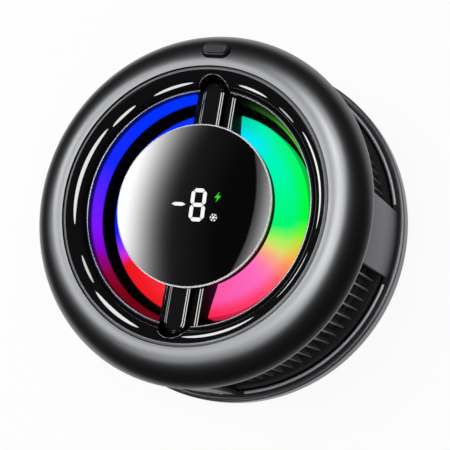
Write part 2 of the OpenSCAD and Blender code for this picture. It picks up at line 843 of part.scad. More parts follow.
module board_chips() {
  apart = 0.6;
  y0 = port_len - port_face + apart;
  controller = [3, 3, 0.8];
  inductor = [3, 2, 1];
  capacitor = [1.6, 0.8, 0.6];
  color("#1d1d1f") translate([0, y0, z_sink + board_t]) {
    translate([-controller.x - apart, 0, 0]) cube(controller);
    translate([apart, 0, 0]) cube(inductor);
    translate([apart, inductor.y + apart, 0]) cube(capacitor);
  }
}

module port_shell() {
  color("#b9bcc2") translate([0, -port_face, z_port]) rotate([-90, 0, 0]) difference() {
    oblong(port_w, port_h, port_len);
    translate([0, 0, -past]) oblong(port_w - 2 * port_t, port_h - 2 * port_t, port_len + 2 * past);
  }
}

module port_tongue() {
  back = 2;
  tip = 0.6;
  blade = [6.7, 0.7];
  color("#1a1a1c") translate([0, -port_face, z_port]) rotate([-90, 0, 0]) {
    translate([0, 0, port_len - back])
      oblong(port_w - 2 * port_t, port_h - 2 * port_t, back);
    translate([-blade.x / 2, -blade.y / 2, tip]) cube([blade.x, blade.y, port_len - back - tip + eps]);
  }
}

module ceramic(z) {
  color("#f4f3ee") translate([-tec_w / 2, -tec_w / 2, z]) cube([tec_w, tec_w, ceramic_t]);
}

module hot_ceramic() { ceramic(z_sink - ceramic_t); }

module cold_ceramic() { ceramic(z_tec); }

module tec_legs() {
  pitch = (tec_w - 2 * tec_edge) / leg_rows;
  color("#5b5d63") for (i = [0:leg_rows - 1], j = [0:leg_rows - 1])
    translate([(i - (leg_rows - 1) / 2) * pitch - leg_w / 2,
               (j - (leg_rows - 1) / 2) * pitch - leg_w / 2, z_tec + ceramic_t])
      cube([leg_w, leg_w, leg_h]);
}

module tec_leads() {
  start = tec_w / 2 - tec_edge;
  end = lip_r - lead_end;
  color("#a8322b") for (s = [-1, 1]) translate([s * lead_at, -start, z_tec + ceramic_t + lead_d / 2])
    rotate([90, 0, 0]) cylinder(d = lead_d, h = end - start);
}

module foam_ring() {
  slot = lead_d + 2 * seat_gap;
  color("#3c3d40") difference() {
    translate([0, 0, z_tec]) cylinder(r = lip_r, h = tec_t - seat_gap);
    translate([-tec_w / 2 - seat_gap, -tec_w / 2 - seat_gap, z_tec - past])
      cube([tec_w + 2 * seat_gap, tec_w + 2 * seat_gap, tec_t + 2 * past]);
    for (s = [-1, 1]) translate([s * lead_at - slot / 2, -ring_r, z_tec + ceramic_t - seat_gap])
      cube([slot, ring_r, tec_t]);
  }
}

module cold_plate() {
  color("#c8cbd0") {
    cylinder(r = cold_r, h = z_lip + eps);
    translate([0, 0, z_lip]) cylinder(r = lip_r, h = lip_t);
  }
}

module rear_cover() {
  bottom_r = 0.6;
  bead_at = rim_in + bead_inset;
  bead_room = 2.5;
  bead_span = 90 - panel_angle - 2 * bead_room;
  collar_top = z_tec + ceramic_t - seat_gap;
  color("#2b2c30") difference() {
    union() {
      rotate_extrude() polygon(concat(
        [[hole_r, z_cover]],
        arc([flange_r - bottom_r, z_cover + bottom_r], bottom_r, -90, 0, 6),
        arc([flange_r - flange_edge_r, z_rim - flange_edge_r], flange_edge_r, 0, 90, 6),
        [[rim_in, z_rim], [rim_in, z_floor], [magnet_in - seat_gap, z_floor],
         [magnet_in - seat_gap, collar_top], [collar_in, collar_top], [collar_in, z_floor],
         [hole_r, z_floor]]));
      for (v = [45:90:315]) rotate([0, 0, v - bead_span / 2])
        translate([0, 0, z_rim]) rotate_extrude(angle = bead_span)
          translate([bead_at, 0]) circle(r = bead_r, $fn = 32);
    }
    at_case_screws() {
      translate([0, 0, z_cover - past]) cylinder(r = hole_gap_r, h = floor_t + 2 * past);
      translate([0, 0, z_cover - past]) cylinder(r = head_r + seat_gap, h = past + head_sunk);
    }
  }
}

module magnets() {
  color("#b4b7bb") for (i = [0:magnet_count - 1])
    sector(magnet_out, magnet_in, z_floor, z_shield, i * 360 / magnet_count,
      magnet_fill * 360 / magnet_count);
}

module magnet_shield() {
  color("#8a8d92") ring(magnet_out + shield_lap, magnet_in, z_shield, z_shield + shield_t);
}

module grip_pad() {
  color("#1f2023") difference() {
    ring(cage_r - pad_inset, hole_r, 0, pad_t);
    at_case_screws() translate([0, 0, pad_t + head_sunk - head_h - seat_gap])
      cylinder(r = head_r + seat_gap, h = head_h + past);
  }
}

module case_screws() {
  color("#7f8287") at_case_screws() translate([0, 0, z_cover + head_sunk]) mirror([0, 0, 1])
    screw(0, case_screw_len + floor_t - head_sunk);
}

module ring_screws() {
  color("#7f8287") at_ring_screws() screw(z_flange, ring_screw_len);
}

module sink_screws() {
  color("#7f8287") at_sink_screws() screw(z_base, z_base - z_floor - screw_land);
}

module dish_screws() {
  color("#7f8287") at_dish_screws() translate([0, 0, z_dish]) mirror([0, 0, 1])
    screw(0, dish_screw_len);
}

front_ring();
trim_ring();
front_bezel();
light_ring();
spoke_arms();
spoke_caps();
display_cup();
display_lens();
display_module();
display_board();
light_dish();
led_board();
led_chips();
front_board();
ring_chips();
power_button();
switch_plunger();
switch_body();
button_board();
vent_cage();
panel_right();
panel_top();
panel_left();
port_panel();
cooling_fins();
heat_sink();
wheel_plate();
fan_blades();
wheel_rim();
rotor_can();
rotor_magnet();
motor_shaft();
shaft_clip();
bearing_sleeve();
bearing_tube();
thrust_pad();
stator_core();
stator_coils();
motor_board();
main_board();
board_chips();
port_shell();
port_tongue();
hot_ceramic();
tec_legs();
cold_ceramic();
tec_leads();
foam_ring();
cold_plate();
rear_cover();
magnets();
magnet_shield();
grip_pad();
case_screws();
ring_screws();
sink_screws();
dish_screws();
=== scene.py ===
import math
import bmesh
import bpy
from mathutils import Matrix, Vector


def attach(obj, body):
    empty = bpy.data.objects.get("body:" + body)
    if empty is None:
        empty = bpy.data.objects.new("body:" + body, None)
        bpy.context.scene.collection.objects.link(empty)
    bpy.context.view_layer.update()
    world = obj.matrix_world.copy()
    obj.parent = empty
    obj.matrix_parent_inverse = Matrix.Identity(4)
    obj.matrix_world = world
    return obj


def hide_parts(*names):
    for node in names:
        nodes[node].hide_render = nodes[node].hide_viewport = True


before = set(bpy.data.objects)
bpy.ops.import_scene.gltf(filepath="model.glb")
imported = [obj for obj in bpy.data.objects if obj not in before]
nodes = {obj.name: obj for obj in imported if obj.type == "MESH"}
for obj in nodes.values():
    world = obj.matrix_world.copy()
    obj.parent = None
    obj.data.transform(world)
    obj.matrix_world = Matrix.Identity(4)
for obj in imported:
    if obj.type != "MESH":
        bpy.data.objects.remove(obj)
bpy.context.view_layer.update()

scene = bpy.context.scene
scene.view_settings.view_transform = "Standard"
mm = 0.001  # sizes below are in mm, pieces are scaled to metres when they are finished


def standObject(name, data):  # new object in the scene
    thing = bpy.data.objects.new(name, data)
    scene.collection.objects.link(thing)
    return thing


def spin(degrees, axis="Z"):
    return Matrix.Rotation(math.radians(degrees), 4, axis)


def facing(across, upward, out):  # turn of a camera or a lamp that looks against out
    return Matrix((across, upward, out)).transposed().to_4x4()


# camera

cameraView = {"lens": 98.985, "sensor": 36, "stands": (92.093, -35.860, 227.909), "roll": 9.65,
              "back": (0.3919, -0.1526, 0.9073), "shift": (0.0206, -0.0160), "clip": (0.01, 20)}


def addCamera():
    d = cameraView
    data = bpy.data.cameras.new("camera")
    data.lens = d["lens"]
    data.sensor_width = d["sensor"]
    data.shift_x, data.shift_y = d["shift"]
    data.clip_start, data.clip_end = d["clip"]
    back = Vector(d["back"]).normalized()
    right = Vector((0, 1, 0)).cross(back).normalized()
    up = back.cross(right)
    roll = math.radians(d["roll"])
    across = right * math.cos(roll) + up * math.sin(roll)
    upward = up * math.cos(roll) - right * math.sin(roll)
    place = facing(across, upward, back)
    place.translation = Vector(d["stands"]) * mm
    camera = standObject("camera", data)
    camera.matrix_world = place
    scene.camera = camera


addCamera()
print("camera set")


# node sheets: one class for a socket, one for a tree

def forward(operation):
    return lambda wire, other: wire.maths(operation, wire, other)


def reflected(operation):  # the wire stands on the right
    return lambda wire, other: wire.maths(operation, other, wire)


class Wire:
    def __init__(self, sheet, socket):
        self.sheet = sheet
        self.socket = socket

    def __getitem__(self, name):  # another output of the same node
        return Wire(self.sheet, self.socket.node.outputs[name])

    def maths(self, operation, first, second=0.0):
        return self.sheet.add("ShaderNodeMath", {"operation": operation}, {0: first, 1: second})

    __add__, __radd__ = forward("ADD"), reflected("ADD")
    __sub__, __rsub__ = forward("SUBTRACT"), reflected("SUBTRACT")
    __mul__, __rmul__ = forward("MULTIPLY"), reflected("MULTIPLY")
    __truediv__, __rtruediv__ = forward("DIVIDE"), reflected("DIVIDE")
    __mod__ = forward("FLOORED_MODULO")
    __pow__ = forward("POWER")
    atLeast = forward("MAXIMUM")

    def __abs__(self):
        return self.maths("ABSOLUTE", self)

    def floor(self):
        return self.maths("FLOOR", self)


class NodeSheet:
    def __init__(self, tree):
        self.tree = tree

    def add(self, kind, settings=None, sockets=None, out=0):
        node = self.tree.nodes.new(kind)
        for name, value in (settings or {}).items():
            if name == "stops":
                ramp = node.color_ramp
                while len(ramp.elements) < len(value):
                    ramp.elements.new(1.0)
                for stop, (place, colour) in zip(ramp.elements, value):
                    stop.position = place
                    stop.color = colour
            else:
                setattr(node, name, value)
        for name, value in (sockets or {}).items():
            if isinstance(value, Wire):
                self.tree.links.new(value.socket, node.inputs[name])
            else:
                node.inputs[name].default_value = value
        return Wire(self, node.outputs[out]) if len(node.outputs) else node

    def ease(self, value, start, end, low=0.0, high=1.0):  # smooth step from low to high
        return self.add("ShaderNodeMapRange", {"interpolation_type": "SMOOTHSTEP"},
                        {"Value": value, "From Min": start, "From Max": end, "To Min": low, "To Max": high})


def tone(red, green, blue):  # 0 to 255 as seen on a screen
    seen = [channel / 255 for channel in (red, green, blue)]
    return tuple(c / 12.92 if c < 0.04045 else ((c + 0.055) / 1.055) ** 2.4 for c in seen) + (1.0,)


black = (0, 0, 0)
evenly = (1, 1, 1)


class Finish(NodeSheet):  # sizes and depths in mm
    def __init__(self, name, fixed):
        self.material = bpy.data.materials.new(name)
        self.material.use_nodes = True
        super().__init__(self.material.node_tree)
        self.shader = self.tree.nodes["Principled BSDF"]
        for socket, value in fixed.items():
            self.shader.inputs[socket].default_value = value
        self.place = self.add("ShaderNodeTexCoord", out="Object")

    def feed(self, socket, wire):
        self.tree.links.new(wire.socket, self.shader.inputs[socket])

    def noise(self, size, detail=2.0, stretch=evenly):
        where = self.place
        if stretch != evenly:
            where = self.add("ShaderNodeMapping", {}, {"Vector": where, "Scale": stretch})
        return self.add("ShaderNodeTexNoise", {}, {"Vector": where, "Scale": 1 / (size * mm),
                                                   "Detail": detail})

    def between(self, share, low, high):  # wires or colours as seen on a screen
        low, high = (end if isinstance(end, Wire) else tone(*end) for end in (low, high))
        return self.add("ShaderNodeMix", {"data_type": "RGBA"}, {0: share, 6: low, 7: high}, 2)

    def rough(self, middle, *sways):  # sways as (noise, share) around the middle
        total = middle - sum(share for wire, share in sways) / 2
        for wire, share in sways:
            total = wire * share + total
        self.feed("Roughness", total)

    def bump(self, height, depth, strength):
        self.feed("Normal", self.add("ShaderNodeBump", {}, {"Strength": strength, "Distance": depth * mm,
                                                            "Height": height}))

    def ramp(self, stops, share):
        return self.add("ShaderNodeValToRGB", {"stops": stops}, {"Fac": share})

    def polar(self):  # azimuth as 0..1 from -180 degrees, radius, height
        spot = self.add("ShaderNodeSeparateXYZ", {}, {0: self.place})
        turn = spot.maths("ARCTAN2", spot["Y"], spot["X"])
        reach = (spot["X"] ** 2 + spot["Y"] ** 2) ** 0.5
        return turn / (2 * math.pi) + 0.5, reach / mm, spot["Z"] / mm


# finishes

satinLook = {"grain": 0.16, "cloud": 9.0, "flecks": (0.52, 0.72), "depth": 0.0052,
             "sheen": (0.95, 0.965, 1.0, 1.0)}  # cool glint of the lacquer
glossLook = {"swirl": 1.4, "swirls": (0.35, 0.75), "dust": 0.22, "specks": (0.66, 0.8),
             "speck": (20, 20, 22)}


def satinPaint(name, base, fleck, gloss, bend=1.6):
    d = satinLook
    finish = Finish(name, {"IOR": bend, "Specular Tint": d["sheen"]})
    grain = finish.noise(d["grain"], 3)
    finish.feed("Base Color", finish.between(finish.ease(grain, *d["flecks"]), base, fleck))
    finish.rough(gloss, (grain, 0.08), (finish.noise(d["cloud"]), 0.05))
    finish.bump(grain, d["depth"], 0.55)
    return finish.material


def glossPaint(name, base, bend, haze=0.03, sway=0.02):
    d = glossLook
    finish = Finish(name, {"IOR": bend})
    swirl = finish.noise(d["swirl"], 4)
    dust = finish.ease(finish.noise(d["dust"]), *d["specks"])
    finish.feed("Base Color", finish.between(dust, base, d["speck"]))
    finish.feed("Roughness", finish.ease(swirl, *d["swirls"], haze, haze + sway))
    return finish.material


def mouldedPlastic(name, base, light, gloss, grain=0.3, bend=1.5, depth=0.012):
    finish = Finish(name, {"IOR": bend})
    spark = finish.noise(grain, 3)
    cloud = finish.noise(6.0)
    finish.feed("Base Color", finish.between(spark * 0.6 + cloud * 0.4, base, light))
    finish.rough(gloss, (spark, 0.16))
    finish.bump(spark, depth, 0.6)
    return finish.material


def brightMetal(name, base, light, gloss, grain=0.4, stretch=evenly, depth=0.004):
    finish = Finish(name, {"Metallic": 1.0})
    streak = finish.noise(grain, 3, stretch)
    stain = finish.noise(5.0)
    finish.feed("Base Color", finish.between(streak * 0.5 + stain * 0.5, base, light))
    finish.rough(gloss, (streak, 0.14))
    finish.bump(streak, depth, 0.4)
    return finish.material


def turnedMetal(name, base, light, gloss):  # fine rings left by a lathe
    finish = Finish(name, {"Metallic": 1.0})
    reach = finish.polar()[1]
    ring = finish.add("ShaderNodeTexNoise", {"noise_dimensions": "1D"}, {"W": reach * 9.0, "Detail": 3.0})
    stain = finish.noise(7.0)
    finish.feed("Base Color", finish.between(ring * 0.6 + stain * 0.4, base, light))
    finish.rough(gloss, (ring, 0.16), (stain, 0.06))
    finish.bump(ring, 0.006, 0.5)
    return finish.material


def circuitBoard(name, base, track):
    finish = Finish(name, {"IOR": 1.5})
    cells = finish.add("ShaderNodeTexVoronoi", {"distance": "MANHATTAN"},
                       {"Vector": finish.place, "Scale": 900.0})
    tracks = finish.ease(cells, 0.32, 0.38)
    fibre = finish.noise(0.3)
    finish.feed("Base Color", finish.between(tracks * 0.6 + fibre * 0.2, base, track))
    finish.rough(0.395, (fibre, 0.15))
    finish.bump(tracks, 0.02, 0.5)
    return finish.material


def softRubber(name, base, light, pitch):
    finish = Finish(name, {"IOR": 1.42})
    reach = finish.polar()[1]
    grain = finish.noise(0.35, 3)
    rings = finish.ease(abs(reach % pitch - pitch / 2), 0.1, 0.16)  # fine moulded rings
    finish.feed("Base Color", finish.between(grain * 0.7 + rings * 0.2, base, light))
    finish.rough(0.625, (grain, 0.15))
    finish.bump(grain * 0.3 + rings, 0.05, 0.6)
    return finish.material


def litFinish(name, rough, bend):  # dark where its light is off
    return Finish(name, {"Base Color": tone(4, 4, 5), "Roughness": rough, "IOR": bend,
                         "Emission Strength": 1.0})


def ledFloor(name, inner, outer, span, rim):
    finish = litFinish(name, 0.6, 1.15)
    turn, reach = finish.polar()[:2]
    sway = turn + (finish.noise(2.6) - 0.5) * 0.008
    glow = finish.between(finish.ease(reach, *span), finish.ramp(inner, sway), finish.ramp(outer, sway))
    edge = finish.ease(reach, *rim) * 0.45  # painted shade on the rounded rim
    finish.feed("Emission Color", finish.between(edge, glow, black))
    return finish.material


def ledWall(name, stops, low, high):
    finish = litFinish(name, 0.5, 1.05)
    turn, height = finish.polar()[::2]
    glow = finish.ramp(stops, turn + (finish.noise(3.0) - 0.5) * 0.015)
    aside = finish.add("ShaderNodeSeparateXYZ", {}, {0: finish.place}, "X") / mm
    right = finish.ease(aside, -3.0, 3.0)
    lip = finish.ease(height, high - 1.15, high - 0.55) * 0.9  # painted shade under the bezel's lip
    # painted shade near the foot of the wall, on the left
    foot = finish.ease(height, low + 0.7, low) * 0.3
    upper = finish.ease(height, low + 0.5, low + 2.6) * 0.8  # painted shade higher up on the right side, which is lit only near its foot
    spokeShade = finish.ease(abs(aside), 4.6, 3.9)  # painted shade beside the spokes, where no light reaches
    # all these masks are painted shade mixed into the wall's glow
    shade = (lip + foot) * (1 - right) + upper * right
    finish.feed("Emission Color", finish.between(shade.atLeast(spokeShade), glow, (0, 0, 3)))
    return finish.material


def litMark(name, colour):
    finish = litFinish(name, 0.6, 1.1)
    dots = finish.ease(finish.noise(0.25), 0.3, 0.7) * 0.1
    finish.feed("Emission Color", finish.between(dots, colour, black))
    return finish.material


def around(*stops):  # stops of a ramp from azimuths in degrees
    return [((turn + 180) / 360, tone(*colour)) for turn, colour in stops]


floorInner = around(
    (-180, (0, 40, 255)), (-163, (10, 40, 255)), (-157, (120, 50, 255)), (-150, (220, 50, 250)),
    (-144, (244, 22, 40)), (-112, (250, 44, 60)), (-98, (255, 70, 95)), (-80, (250, 86, 165)),
    (-44, (254, 106, 190)), (-34, (255, 127, 170)), (-27, (250, 165, 140)), (-20, (228, 215, 110)),
    (-14, (180, 238, 100)), (-8, (110, 246, 95)), (-2, (0, 246, 110)), (24, (0, 248, 150)),
    (50, (0, 245, 190)), (66, (0, 235, 245)), (82, (0, 225, 255)), (98, (0, 60, 255)), (180, (0, 40, 255)))
floorOuter = around(
    (-180, (0, 30, 250)), (-163, (10, 30, 250)), (-157, (110, 40, 250)), (-150, (200, 40, 230)),
    (-144, (235, 16, 26)), (-112, (240, 20, 26)), (-98, (250, 40, 60)), (-80, (255, 35, 80)),
    (-50, (255, 60, 110)), (-36, (255, 90, 105)), (-26, (255, 140, 88)), (-19, (245, 185, 70)),
    (-12, (205, 220, 55)), (-5, (110, 246, 45)), (2, (0, 248, 55)), (24, (0, 250, 75)),
    (50, (0, 245, 130)), (66, (0, 238, 180)), (82, (0, 205, 170)), (98, (0, 50, 250)), (180, (0, 30, 250)))
# LED colours around the light ring's wall; the dim stops from -40 to 8 degrees and from 60 to 92 degrees are
# painted shade
wallGlow = around(
    (-180, (95, 30, 255)), (-165, (125, 20, 250)), (-156, (130, 8, 215)), (-148, (140, 5, 130)),
    (-141, (140, 5, 60)), (-132, (125, 5, 28)), (-120, (105, 4, 18)), (-70, (110, 6, 24)),
    (-40, (60, 6, 10)), (-15, (10, 24, 5)), (8, (4, 40, 6)), (18, (20, 130, 14)), (30, (90, 205, 24)),
    (46, (76, 185, 12)), (60, (44, 98, 6)), (76, (10, 18, 3)), (92, (0, 10, 60)), (98, (0, 50, 255)),
    (130, (0, 48, 255)), (160, (20, 40, 255)), (180, (95, 30, 255)))

finishRecipes = {
    satinPaint: {
        "satinRing": ((4, 4, 5), (14, 14, 16), 0.31, 2.15),
        "satinButton": ((11, 11, 13), (25, 26, 29), 0.36),
        "satinPanel": ((74, 74, 82), (93, 93, 102), 0.45),
        "satinFlange": ((30, 30, 34), (48, 48, 53), 0.34, 1.85),
        "trimMetal": ((116, 117, 122), (146, 147, 152), 0.33, 1.9),
        # near-white band on the lens chamfer: a painted highlight
        "glassEdge": ((232, 233, 237), (242, 243, 247), 0.3, 1.7),
        # pale grey on the vent beads is a painted highlight
        "beadBlack": ((122, 123, 128), (150, 151, 156), 0.34, 2.2),
    },
    glossPaint: {
        "pianoBlack": ((9, 9, 10), 2.3),
        "spokeBlack": ((12, 13, 15), 2.2, 0.05),
        "displayGlass": ((2, 2, 3), 2.05, 0.0, 0.006),
    },
    mouldedPlastic: {
        "spokeMatt": ((6, 6, 7), (12, 12, 14), 0.55, 0.3, 1.12),
        "cageBlack": ((7, 7, 8), (14, 14, 16), 0.5),
        "finBlack": ((34, 34, 37), (62, 62, 67), 0.34, 0.2, 1.8),
        "wheelBlack": ((5, 5, 6), (12, 12, 14), 0.5, 0.3, 1.2),
        "chipLens": ((250, 236, 190), (255, 248, 222), 0.3),
        "displayWhite": ((214, 214, 212), (232, 232, 230), 0.45),
        "plungerWhite": ((222, 220, 212), (240, 238, 232), 0.4),
        "magnetDark": ((46, 46, 49), (66, 66, 70), 0.5),
        "clipPlastic": ((206, 198, 176), (222, 216, 198), 0.45),
        "chipBlack": ((20, 20, 22), (34, 34, 37), 0.45),
        "ceramicWhite": ((232, 231, 225), (246, 245, 241), 0.5),
        "leadRed": ((158, 40, 34), (190, 58, 50), 0.42),
        "foamGrey": ((50, 51, 54), (78, 79, 82), 0.85, 0.5, 1.4, 0.12),
    },
    brightMetal: {
        "edgeSilver": ((124, 125, 129), (146, 147, 151), 0.17, 0.4, evenly, 0.001),
        "switchSteel": ((150, 152, 156), (190, 192, 196), 0.3),
        "motorSteel": ((150, 153, 158), (192, 195, 200), 0.28, 0.6),
        "bearingBronze": ((168, 132, 78), (204, 168, 104), 0.32),
        "coilCopper": ((176, 92, 50), (216, 128, 78), 0.3, 0.18, (1, 1, 5)),
        "portSteel": ((168, 171, 176), (212, 214, 218), 0.24, 0.5),
        "contactGold": ((206, 164, 84), (236, 200, 124), 0.25, 0.2),
        "legGrey": ((84, 86, 92), (120, 122, 128), 0.5),
        "magnetNickel": ((168, 170, 172), (206, 208, 210), 0.2),
        "shieldSteel": ((120, 123, 128), (160, 163, 168), 0.36),
        "screwSteel": ((112, 115, 120), (158, 161, 166), 0.32),
    },
    turnedMetal: {"coldPlate": ((176, 179, 184), (212, 214, 218), 0.3)},
    circuitBoard: {
        "boardGreen": ((16, 66, 38), (34, 104, 60)),
        "boardWhite": ((225, 226, 224), (240, 240, 238)),
    },
    softRubber: {"gripPad": ((27, 28, 31), (44, 45, 48), 1.3)},
    ledFloor: {"lightFloor": (floorInner, floorOuter, (15.7, 19.2), (19.35, 19.67))},
    ledWall: {"lightWall": (wallGlow, 20.4, 24.2)},
    litMark: {"markWhite": ((255, 255, 255),), "markGreen": ((40, 230, 40),)},
}
finishes = {}
for makeFinish, recipes in finishRecipes.items():
    for name, values in recipes.items():
        finishes[name] = makeFinish(name, *values)
print("finishes made:", len(finishes))


# meshes

weld = 1e-4  # corners closer than this are one
flatEdge = 0.02  # keeps the flat beside a rounded corner flat
fine = 288  # steps around the axis where the outline is large or glossy


def arcPoints(x, z, radius, start, end, steps=12):
    turns = [math.radians(start + (end - start) * k / steps) for k in range(steps + 1)]
    return [(x + radius * math.cos(a), z + radius * math.sin(a)) for a in turns]


def easeCorners(corners, steps=5):  # corners as (r, z) or (r, z, radius of the rounding)
    outline = []
    for k, corner in enumerate(corners):
        here = Vector(corner[:2])
        radius = corner[2] if len(corner) > 2 else 0
        if not radius:
            outline.append(tuple(here))
            continue
        before = (Vector(corners[k - 1][:2]) - here).normalized()
        after = (Vector(corners[(k + 1) % len(corners)][:2]) - here).normalized()
        half = before.angle(after) / 2
        first = here + before * radius / math.tan(half)
        last = here + after * radius / math.tan(half)
        middle = here + (before + after).normalized() * radius / math.sin(half)
        outline.append(tuple(first + before * flatEdge))
        for s in range(steps + 1):
            spoke = (first - middle).lerp(last - middle, s / steps).normalized()
            outline.append(tuple(middle + spoke * radius))
        outline.append(tuple(last + after * flatEdge))
    return outline


def sketchObject(name, bm):
    mesh = bpy.data.meshes.new(name)
    bm.to_mesh(mesh)
    bm.free()
    return standObject(name, mesh)


def meshPiece(name, bm):
    bmesh.ops.remove_doubles(bm, verts=bm.verts, dist=weld)
    bmesh.ops.recalc_face_normals(bm, faces=bm.faces)
    return sketchObject(name, bm)


def bridge(bm, here, there, closed=True):  # faces between two rows of corners
    for i in range(len(here) if closed else len(here) - 1):
        j = (i + 1) % len(here)
        bm.faces.new((here[i], there[i], there[j], here[j]))


def lathePiece(name, outline, steps=240):
    bm = bmesh.new()
    rows = []
    for k in range(steps):
        turn = 2 * math.pi * k / steps
        rows.append([bm.verts.new((r * math.cos(turn), r * math.sin(turn), z)) for r, z in outline])
    for here, there in zip(rows, rows[1:] + rows[:1]):
        for i in range(len(outline)):
            j = (i + 1) % len(outline)
            if outline[i][0] or outline[j][0]:  # nothing along the axis itself
                bm.faces.new((here[i], there[i], there[j], here[j]))
    bmesh.ops.dissolve_degenerate(bm, dist=weld / 10, edges=bm.edges)
    return meshPiece(name, bm)


def bakePiece(piece):  # what the modifiers give becomes the plain mesh
    bpy.context.view_layer.update()
    graph = bpy.context.evaluated_depsgraph_get()
    made = bpy.data.meshes.new_from_object(piece.evaluated_get(graph), preserve_all_data_layers=True,
                                           depsgraph=graph)
    piece.modifiers.clear()
    old = piece.data
    piece.data = made
    bpy.data.meshes.remove(old)
    made.name = piece.name


def cutPiece(piece, *cutters):
    for cutter in cutters:
        cut = piece.modifiers.new("cut", "BOOLEAN")
        cut.operation = "DIFFERENCE"
        cut.solver = "EXACT"
        cut.object = cutter
        bakePiece(piece)
        bpy.data.objects.remove(cutter)


def joinPieces(name, pieces):
    bm = bmesh.new()
    for piece in pieces:
        bm.from_mesh(piece.data)
        bpy.data.objects.remove(piece)
    return sketchObject(name, bm)


def bothSides(name, piece):  # a piece and its copy across the axis, as one
    copy = standObject(piece.name + "Turned", piece.data.copy())
    copy.data.transform(spin(180))
    return joinPieces(name, [copy, piece])


def finishPiece(piece, finish, replaced=(), body="housing", sharp=32):
    mesh = piece.data
    mesh.transform(Matrix.Scale(mm, 4))
    mesh.materials.clear()
    mesh.materials.append(finishes[finish])
    mesh.polygons.foreach_set("use_smooth", [True] * len(mesh.polygons))
    mesh.set_sharp_from_angle(angle=math.radians(sharp))
    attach(piece, body)
    if replaced:
        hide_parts(*replaced)
    return piece


def reachOf(face):  # distance of a finished face from the axis, in mm
    return math.hypot(*face.center[:2]) / mm


def secondFinish(piece, finish, chosen):  # another finish on some faces
    piece.data.materials.append(finishes[finish])
    for face in piece.data.polygons:
        if chosen(face):
            face.material_index = len(piece.data.materials) - 1


def easeEdges(bm, width, steps, least=40):  # edges that turn by more than the least angle
    edges = [e for e in bm.edges if len(e.link_faces) == 2 and e.calc_face_angle() > math.radians(least)]
    bmesh.ops.bevel(bm, geom=edges, offset=width, segments=steps, profile=0.5, affect="EDGES")


def blockPiece(name, low, high, eased=0):
    bm = bmesh.new()
    bmesh.ops.create_cube(bm, size=1)
    for vert in bm.verts:
        vert.co = [low[i] if vert.co[i] < 0 else high[i] for i in range(3)]
    if eased:
        easeEdges(bm, eased, 2)
    return meshPiece(name, bm)


def stadium(length, width):  # outline with round ends along X
    reach = (length - width) / 2
    points = [(reach + x, y) for x, y in arcPoints(0, 0, width / 2, -90, 90)]
    return points + [(x - reach, y) for x, y in arcPoints(0, 0, width / 2, 90, 270)]


def stackPiece(name, size, levels, place, hollow=False):  # levels as (inset, height), bottom first
    bm = bmesh.new()
    rows = []
    for inset, z in levels:
        outline = stadium(size[0] - 2 * inset, size[1] - 2 * inset)
        rows.append([bm.verts.new((x, y, z)) for x, y in outline])
    for low, high in zip(rows, rows[1:]):
        bridge(bm, low, high)
    if hollow:
        bridge(bm, rows[-1], rows[0])
    else:
        bm.faces.new(rows[0])
        bm.faces.new(rows[-1])
    bmesh.ops.transform(bm, matrix=place, verts=bm.verts)
    return meshPiece(name, bm)


def barPiece(name, section, start, end, steps=20):  # round end, section as (x, z) from the top's middle
    bm = bmesh.new()
    stations = [(start, 0)] + [(end, 180 * k / steps) for k in range(steps + 1)] + [(start, 180)]
    rows = []
    for y, turn in stations:
        a = math.radians(turn)
        rows.append([bm.verts.new((x * math.cos(a), y + x * math.sin(a), z)) for x, z in section])
    for here, there in zip(rows, rows[1:] + rows[:1]):
        bridge(bm, here, there, False)
    bmesh.ops.remove_doubles(bm, verts=bm.verts, dist=weld)
    bmesh.ops.dissolve_degenerate(bm, dist=weld / 10, edges=bm.edges)
    return meshPiece(name, bm)


def thickPiece(name, faces, way, eased=0, place=None):  # flat faces drawn out along way
    bm = bmesh.new()
    for corners in faces:
        base = bm.faces.new([bm.verts.new(corner) for corner in corners])
        grown = bmesh.ops.extrude_face_region(bm, geom=[base])
        tops = [v for v in grown["geom"] if isinstance(v, bmesh.types.BMVert)]
        bmesh.ops.translate(bm, vec=way, verts=tops)
    if eased:
        bmesh.ops.recalc_face_normals(bm, faces=bm.faces)
        easeEdges(bm, eased, 1)
    if place is not None:
        bmesh.ops.transform(bm, matrix=place, verts=bm.verts)
    return meshPiece(name, bm)


def sectorPiece(name, inner, outer, low, high, middle, span, eased, steps=28):
    bm = bmesh.new()
    rows = []
    for k in range(steps + 1):
        a = math.radians(middle - span / 2 + span * k / steps)
        corners = ((inner, low), (outer, low), (outer, high), (inner, high))
        rows.append([bm.verts.new((r * math.cos(a), r * math.sin(a), z)) for r, z in corners])
    for here, there in zip(rows, rows[1:]):
        bridge(bm, here, there)
    bm.faces.new(rows[0])
    bm.faces.new(rows[-1][::-1])
    bmesh.ops.recalc_face_normals(bm, faces=bm.faces)
    easeEdges(bm, eased, 3)
    return meshPiece(name, bm)


# geometry node trees

def newTree(name, **inputs):  # names of the inputs with their kinds
    tree = bpy.data.node_groups.new(name, "GeometryNodeTree")
    for label, kind in inputs.items():
        tree.interface.new_socket(name=label, in_out="INPUT", socket_type="NodeSocket" + kind)
    tree.interface.new_socket(name="Finish", in_out="INPUT", socket_type="NodeSocketMaterial")
    tree.interface.new_socket(name="Geometry", in_out="OUTPUT", socket_type="NodeSocketGeometry")
    sheet = NodeSheet(tree)
    return tree, sheet, sheet.add("NodeGroupInput")


def endTree(sheet, shape, given):
    whole = sheet.add("GeometryNodeRealizeInstances", {}, {"Geometry": shape})
    painted = sheet.add("GeometryNodeSetMaterial", {}, {"Geometry": whole, "Material": given["Finish"]})
    sheet.add("NodeGroupOutput", {}, {"Geometry": painted})


def shapeCopies(sheet, given, sockets):  # one shape on each point
    shape = sheet.add("GeometryNodeObjectInfo", {}, {"Object": given["Shape"], "As Instance": True},
                      "Geometry")
    return sheet.add("GeometryNodeInstanceOnPoints", {}, {"Instance": shape, **sockets})


